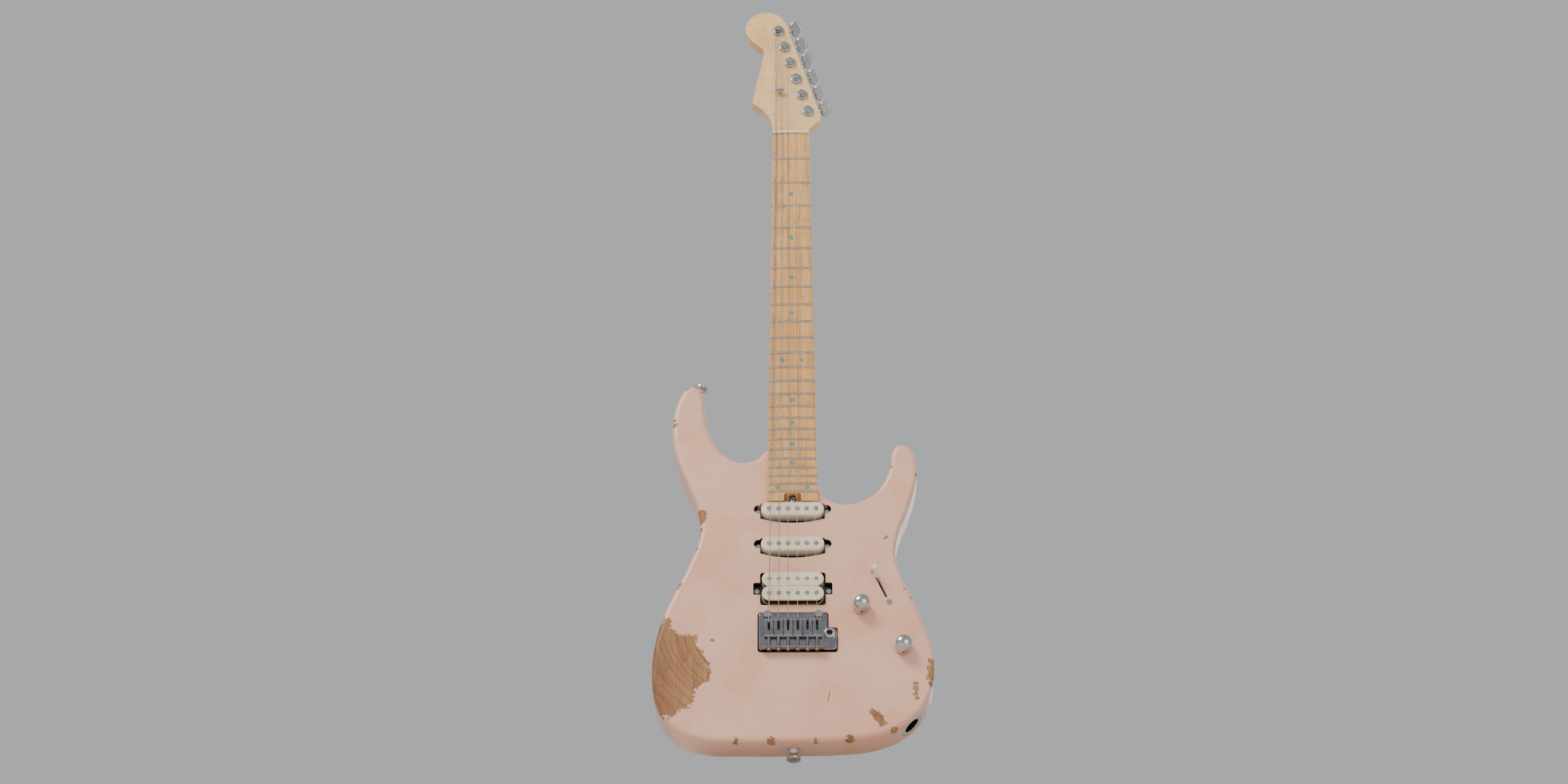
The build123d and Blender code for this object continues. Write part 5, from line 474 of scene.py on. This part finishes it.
def wire(name, points, radius, material, slot, smooth=True, sides=3):
    """A round wire through points, as a curve object."""
    curve = bpy.data.curves.new(name, "CURVE")
    curve.dimensions = "3D"
    curve.bevel_depth = radius * MM
    curve.bevel_resolution = sides
    curve.use_fill_caps = True
    line = curve.splines.new("NURBS" if smooth else "POLY")
    line.points.add(len(points) - 1)
    for stop, point in zip(line.points, points):
        stop.co = (*point, 1.0)
    if smooth:
        line.order_u = 3
        line.use_endpoint_u = True
        line.resolution_u = 6
    made = bpy.data.objects.new(name, curve)
    bpy.context.scene.collection.objects.link(made)
    curve.materials.append(MATERIALS[material])
    return made


def saddle_x(string):
    return (string - 2.5) * SADDLE_PITCH


def underside_at_saddle(string):
    return FRET_PLANE_DEPTH - ACTION_AT_SADDLE + saddle_x(string) ** 2 / (2 * BOARD_RADIUS)


def string_windings():
    """Turns of each string round its tuner's post."""
    for string, diameter in enumerate(STRING_DIAMETERS):
        low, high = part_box(f"tuner_post_{string + 1}")
        centre_x, centre_z = (low.x + high.x) / 2, (low.z + high.z) / 2
        radius = (POST_WAIST_RADIUS + diameter / 2 + 0.05) * MM
        turns = min(3.0, 1.7 / diameter + 0.25)
        steps = int(turns * 20)
        points = []
        for step in range(steps + 1):
            angle = math.pi - 2 * math.pi * turns * step / steps
            depth = WINDING_DEPTH + diameter * 1.04 * turns * step / steps
            x = centre_x + radius * math.cos(angle)
            z = centre_z + radius * math.sin(angle)
            points.append((x, FACE_Y + depth * MM, z))
        name = f"winding_{string + 1}"
        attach(wire(name, points, diameter / 2, "wound", "wound"), f"post_{string + 1}")


def string_bends():
    """The short bend of each string over its saddle."""
    for string, diameter in enumerate(STRING_DIAMETERS):
        x = saddle_x(string)
        reach = SCALE_LENGTH + SADDLE_SETBACK[string]
        low = underside_at_saddle(string)
        radius = diameter / 2
        points = [
            spot(x, reach + 0.1, low - radius + 0.08),
            spot(x, reach + 0.9, low - radius + 0.12),
            spot(x, reach + 1.5 + radius, low + 0.25),
            spot(x, reach + 2.1 + radius, low + radius + 1.7),
        ]
        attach(wire(f"saddle_bend_{string + 1}", points, radius * 1.03, "wound", "wound"), "tremolo")


def helix(start, end, radius, turns, per_turn=14):
    """Points of a helix about the line from start to end, which runs along the strings."""
    points = []
    steps = int(turns * per_turn)
    for step in range(steps + 1):
        share = step / steps
        angle = 2 * math.pi * turns * share
        centre = start.lerp(end, share)
        points.append(centre + Vector((math.cos(angle), math.sin(angle), 0.0)) * radius * MM)
    return points


def intonation_springs():
    for string in range(6):
        start = spot(saddle_x(string), 667.3, INTONATION_DEPTH)
        end = spot(saddle_x(string), 678.2, INTONATION_DEPTH)
        points = helix(start, end, 1.75, 8)
        spring = wire(f"intonation_spring_{string + 1}", points, 0.32, "steel", "steel", False, 2)
        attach(spring, "tremolo")


def tremolo_springs():
    """Wound springs between the claw and the block, in place of the plain sleeves."""
    coil_radius, wire_radius = 3.1, 0.65
    for number, x in enumerate(SPRING_XS):
        claw, block = spot(x, 576.0, SPRING_DEPTH), spot(x, 648.0, SPRING_DEPTH)
        start, end = spot(x, 588.0, SPRING_DEPTH), spot(x, 635.0, SPRING_DEPTH)
        points = [claw, spot(x, 582.0, SPRING_DEPTH)]
        points += helix(start, end, coil_radius, 30, 12)
        points += [spot(x, 640.0, SPRING_DEPTH), block]
        spring = wire(f"tremolo_spring_{number + 1}", points, wire_radius, "steel", "steel", True, 2)
        depsgraph = bpy.context.evaluated_depsgraph_get()
        mesh = bpy.data.meshes.new_from_object(spring.evaluated_get(depsgraph))
        solid = bpy.data.objects.new(f"tremolo_spring_coil_{number + 1}", mesh)
        bpy.context.scene.collection.objects.link(solid)
        bpy.data.objects.remove(spring)
        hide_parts("tremolo_springs")
        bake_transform(solid)


string_windings()
string_bends()
intonation_springs()
tremolo_springs()

# ---- smooth shading where the CAD's faces are curved ----
SMOOTH_ANGLE = math.radians(32)
for piece in NODES.values():
    if not piece.hide_render:
        piece.data.shade_smooth()
        piece.data.set_sharp_from_angle(angle=SMOOTH_ANGLE)

# ---- stage ----
FLOOR_GAP = 0.004
FLOOR_HALF = 6.0


def floor_material():
    """Pale from above, and clear from below so that a low camera sees past it."""
    recipe = Recipe("pale_floor", roughness=0.75)
    recipe.colour(recipe.mix(recipe.noise(400.0, 3.0), srgb(224, 222, 218), srgb(218, 215, 211)))
    geometry = recipe.tree.nodes.new("ShaderNodeNewGeometry")
    clear = recipe.tree.nodes.new("ShaderNodeBsdfTransparent")
    choose = recipe.tree.nodes.new("ShaderNodeMixShader")
    output = recipe.tree.nodes["Material Output"]
    recipe.tree.links.new(geometry.outputs["Backfacing"], choose.inputs[0])
    recipe.tree.links.new(recipe.shader.outputs[0], choose.inputs[1])
    recipe.tree.links.new(clear.outputs[0], choose.inputs[2])
    recipe.tree.links.new(choose.outputs[0], output.inputs["Surface"])
    return recipe.material


def make_stage():
    level = CAD_BOX[0].z - FLOOR_GAP
    mesh = bpy.data.meshes.new("floor")
    signs = [(-1, -1), (1, -1), (1, 1), (-1, 1)]
    corners = [(x * FLOOR_HALF, y * FLOOR_HALF, level) for x, y in signs]
    mesh.from_pydata(corners, [], [(0, 1, 2, 3)])
    mesh.materials.append(floor_material())
    floor = bpy.data.objects.new("floor", mesh)
    floor.visible_shadow = False
    bpy.context.scene.collection.objects.link(floor)


def area_light(name, place, target, size, power, tint=(1.0, 1.0, 1.0)):
    light = bpy.data.lights.new(name, "AREA")
    light.shape = "RECTANGLE"
    light.size, light.size_y = size
    light.energy = power
    light.color = tint
    lamp = bpy.data.objects.new(name, light)
    lamp.location = place
    lamp.rotation_mode = "QUATERNION"
    lamp.rotation_quaternion = (Vector(target) - Vector(place)).to_track_quat("-Z", "Y")
    bpy.context.scene.collection.objects.link(lamp)


SKY_COLOUR = (0.86, 0.87, 0.89, 1.0)
SKY_STRENGTH = 0.55


def make_lights():
    world = bpy.data.worlds.new("studio")
    world.use_nodes = True
    background = world.node_tree.nodes["Background"]
    background.inputs["Color"].default_value = SKY_COLOUR
    background.inputs["Strength"].default_value = SKY_STRENGTH
    bpy.context.scene.world = world
    middle = (CAD_BOX[0] + CAD_BOX[1]) / 2
    area_light("key", (-1.5, -2.2, 2.5), middle, (1.6, 1.2), 96.0, (1.0, 0.95, 0.88))
    area_light("fill", (1.4, -3.0, 0.7), middle, (2.0, 2.0), 20.0, (1.0, 0.97, 0.94))
    area_light("rim", (1.2, 2.2, 1.8), middle, (1.5, 1.5), 10.0)
    area_light("low_front", (-0.4, -2.6, -1.2), middle, (2.0, 1.0), 10.0)


CAMERA_PLACE = Vector((0.0032, -3.515, -1.650))
CAMERA_FORWARD = Vector((-0.003, 0.857, 0.515)).normalized()
CAMERA_UP = Vector((0.005, -0.515, 0.857))
LENS, SENSOR = 82.46, 36.0


def make_camera():
    data = bpy.data.cameras.new("camera")
    data.lens, data.sensor_width = LENS, SENSOR
    data.clip_start, data.clip_end = 0.1, 60.0
    right = CAMERA_FORWARD.cross(CAMERA_UP).normalized()
    up = right.cross(CAMERA_FORWARD)
    camera = bpy.data.objects.new("camera", data)
    turn = Matrix((right, up, -CAMERA_FORWARD)).transposed().to_4x4()
    camera.matrix_world = Matrix.Translation(CAMERA_PLACE) @ turn
    bpy.context.scene.collection.objects.link(camera)
    bpy.context.scene.camera = camera


make_stage()
make_lights()
make_camera()
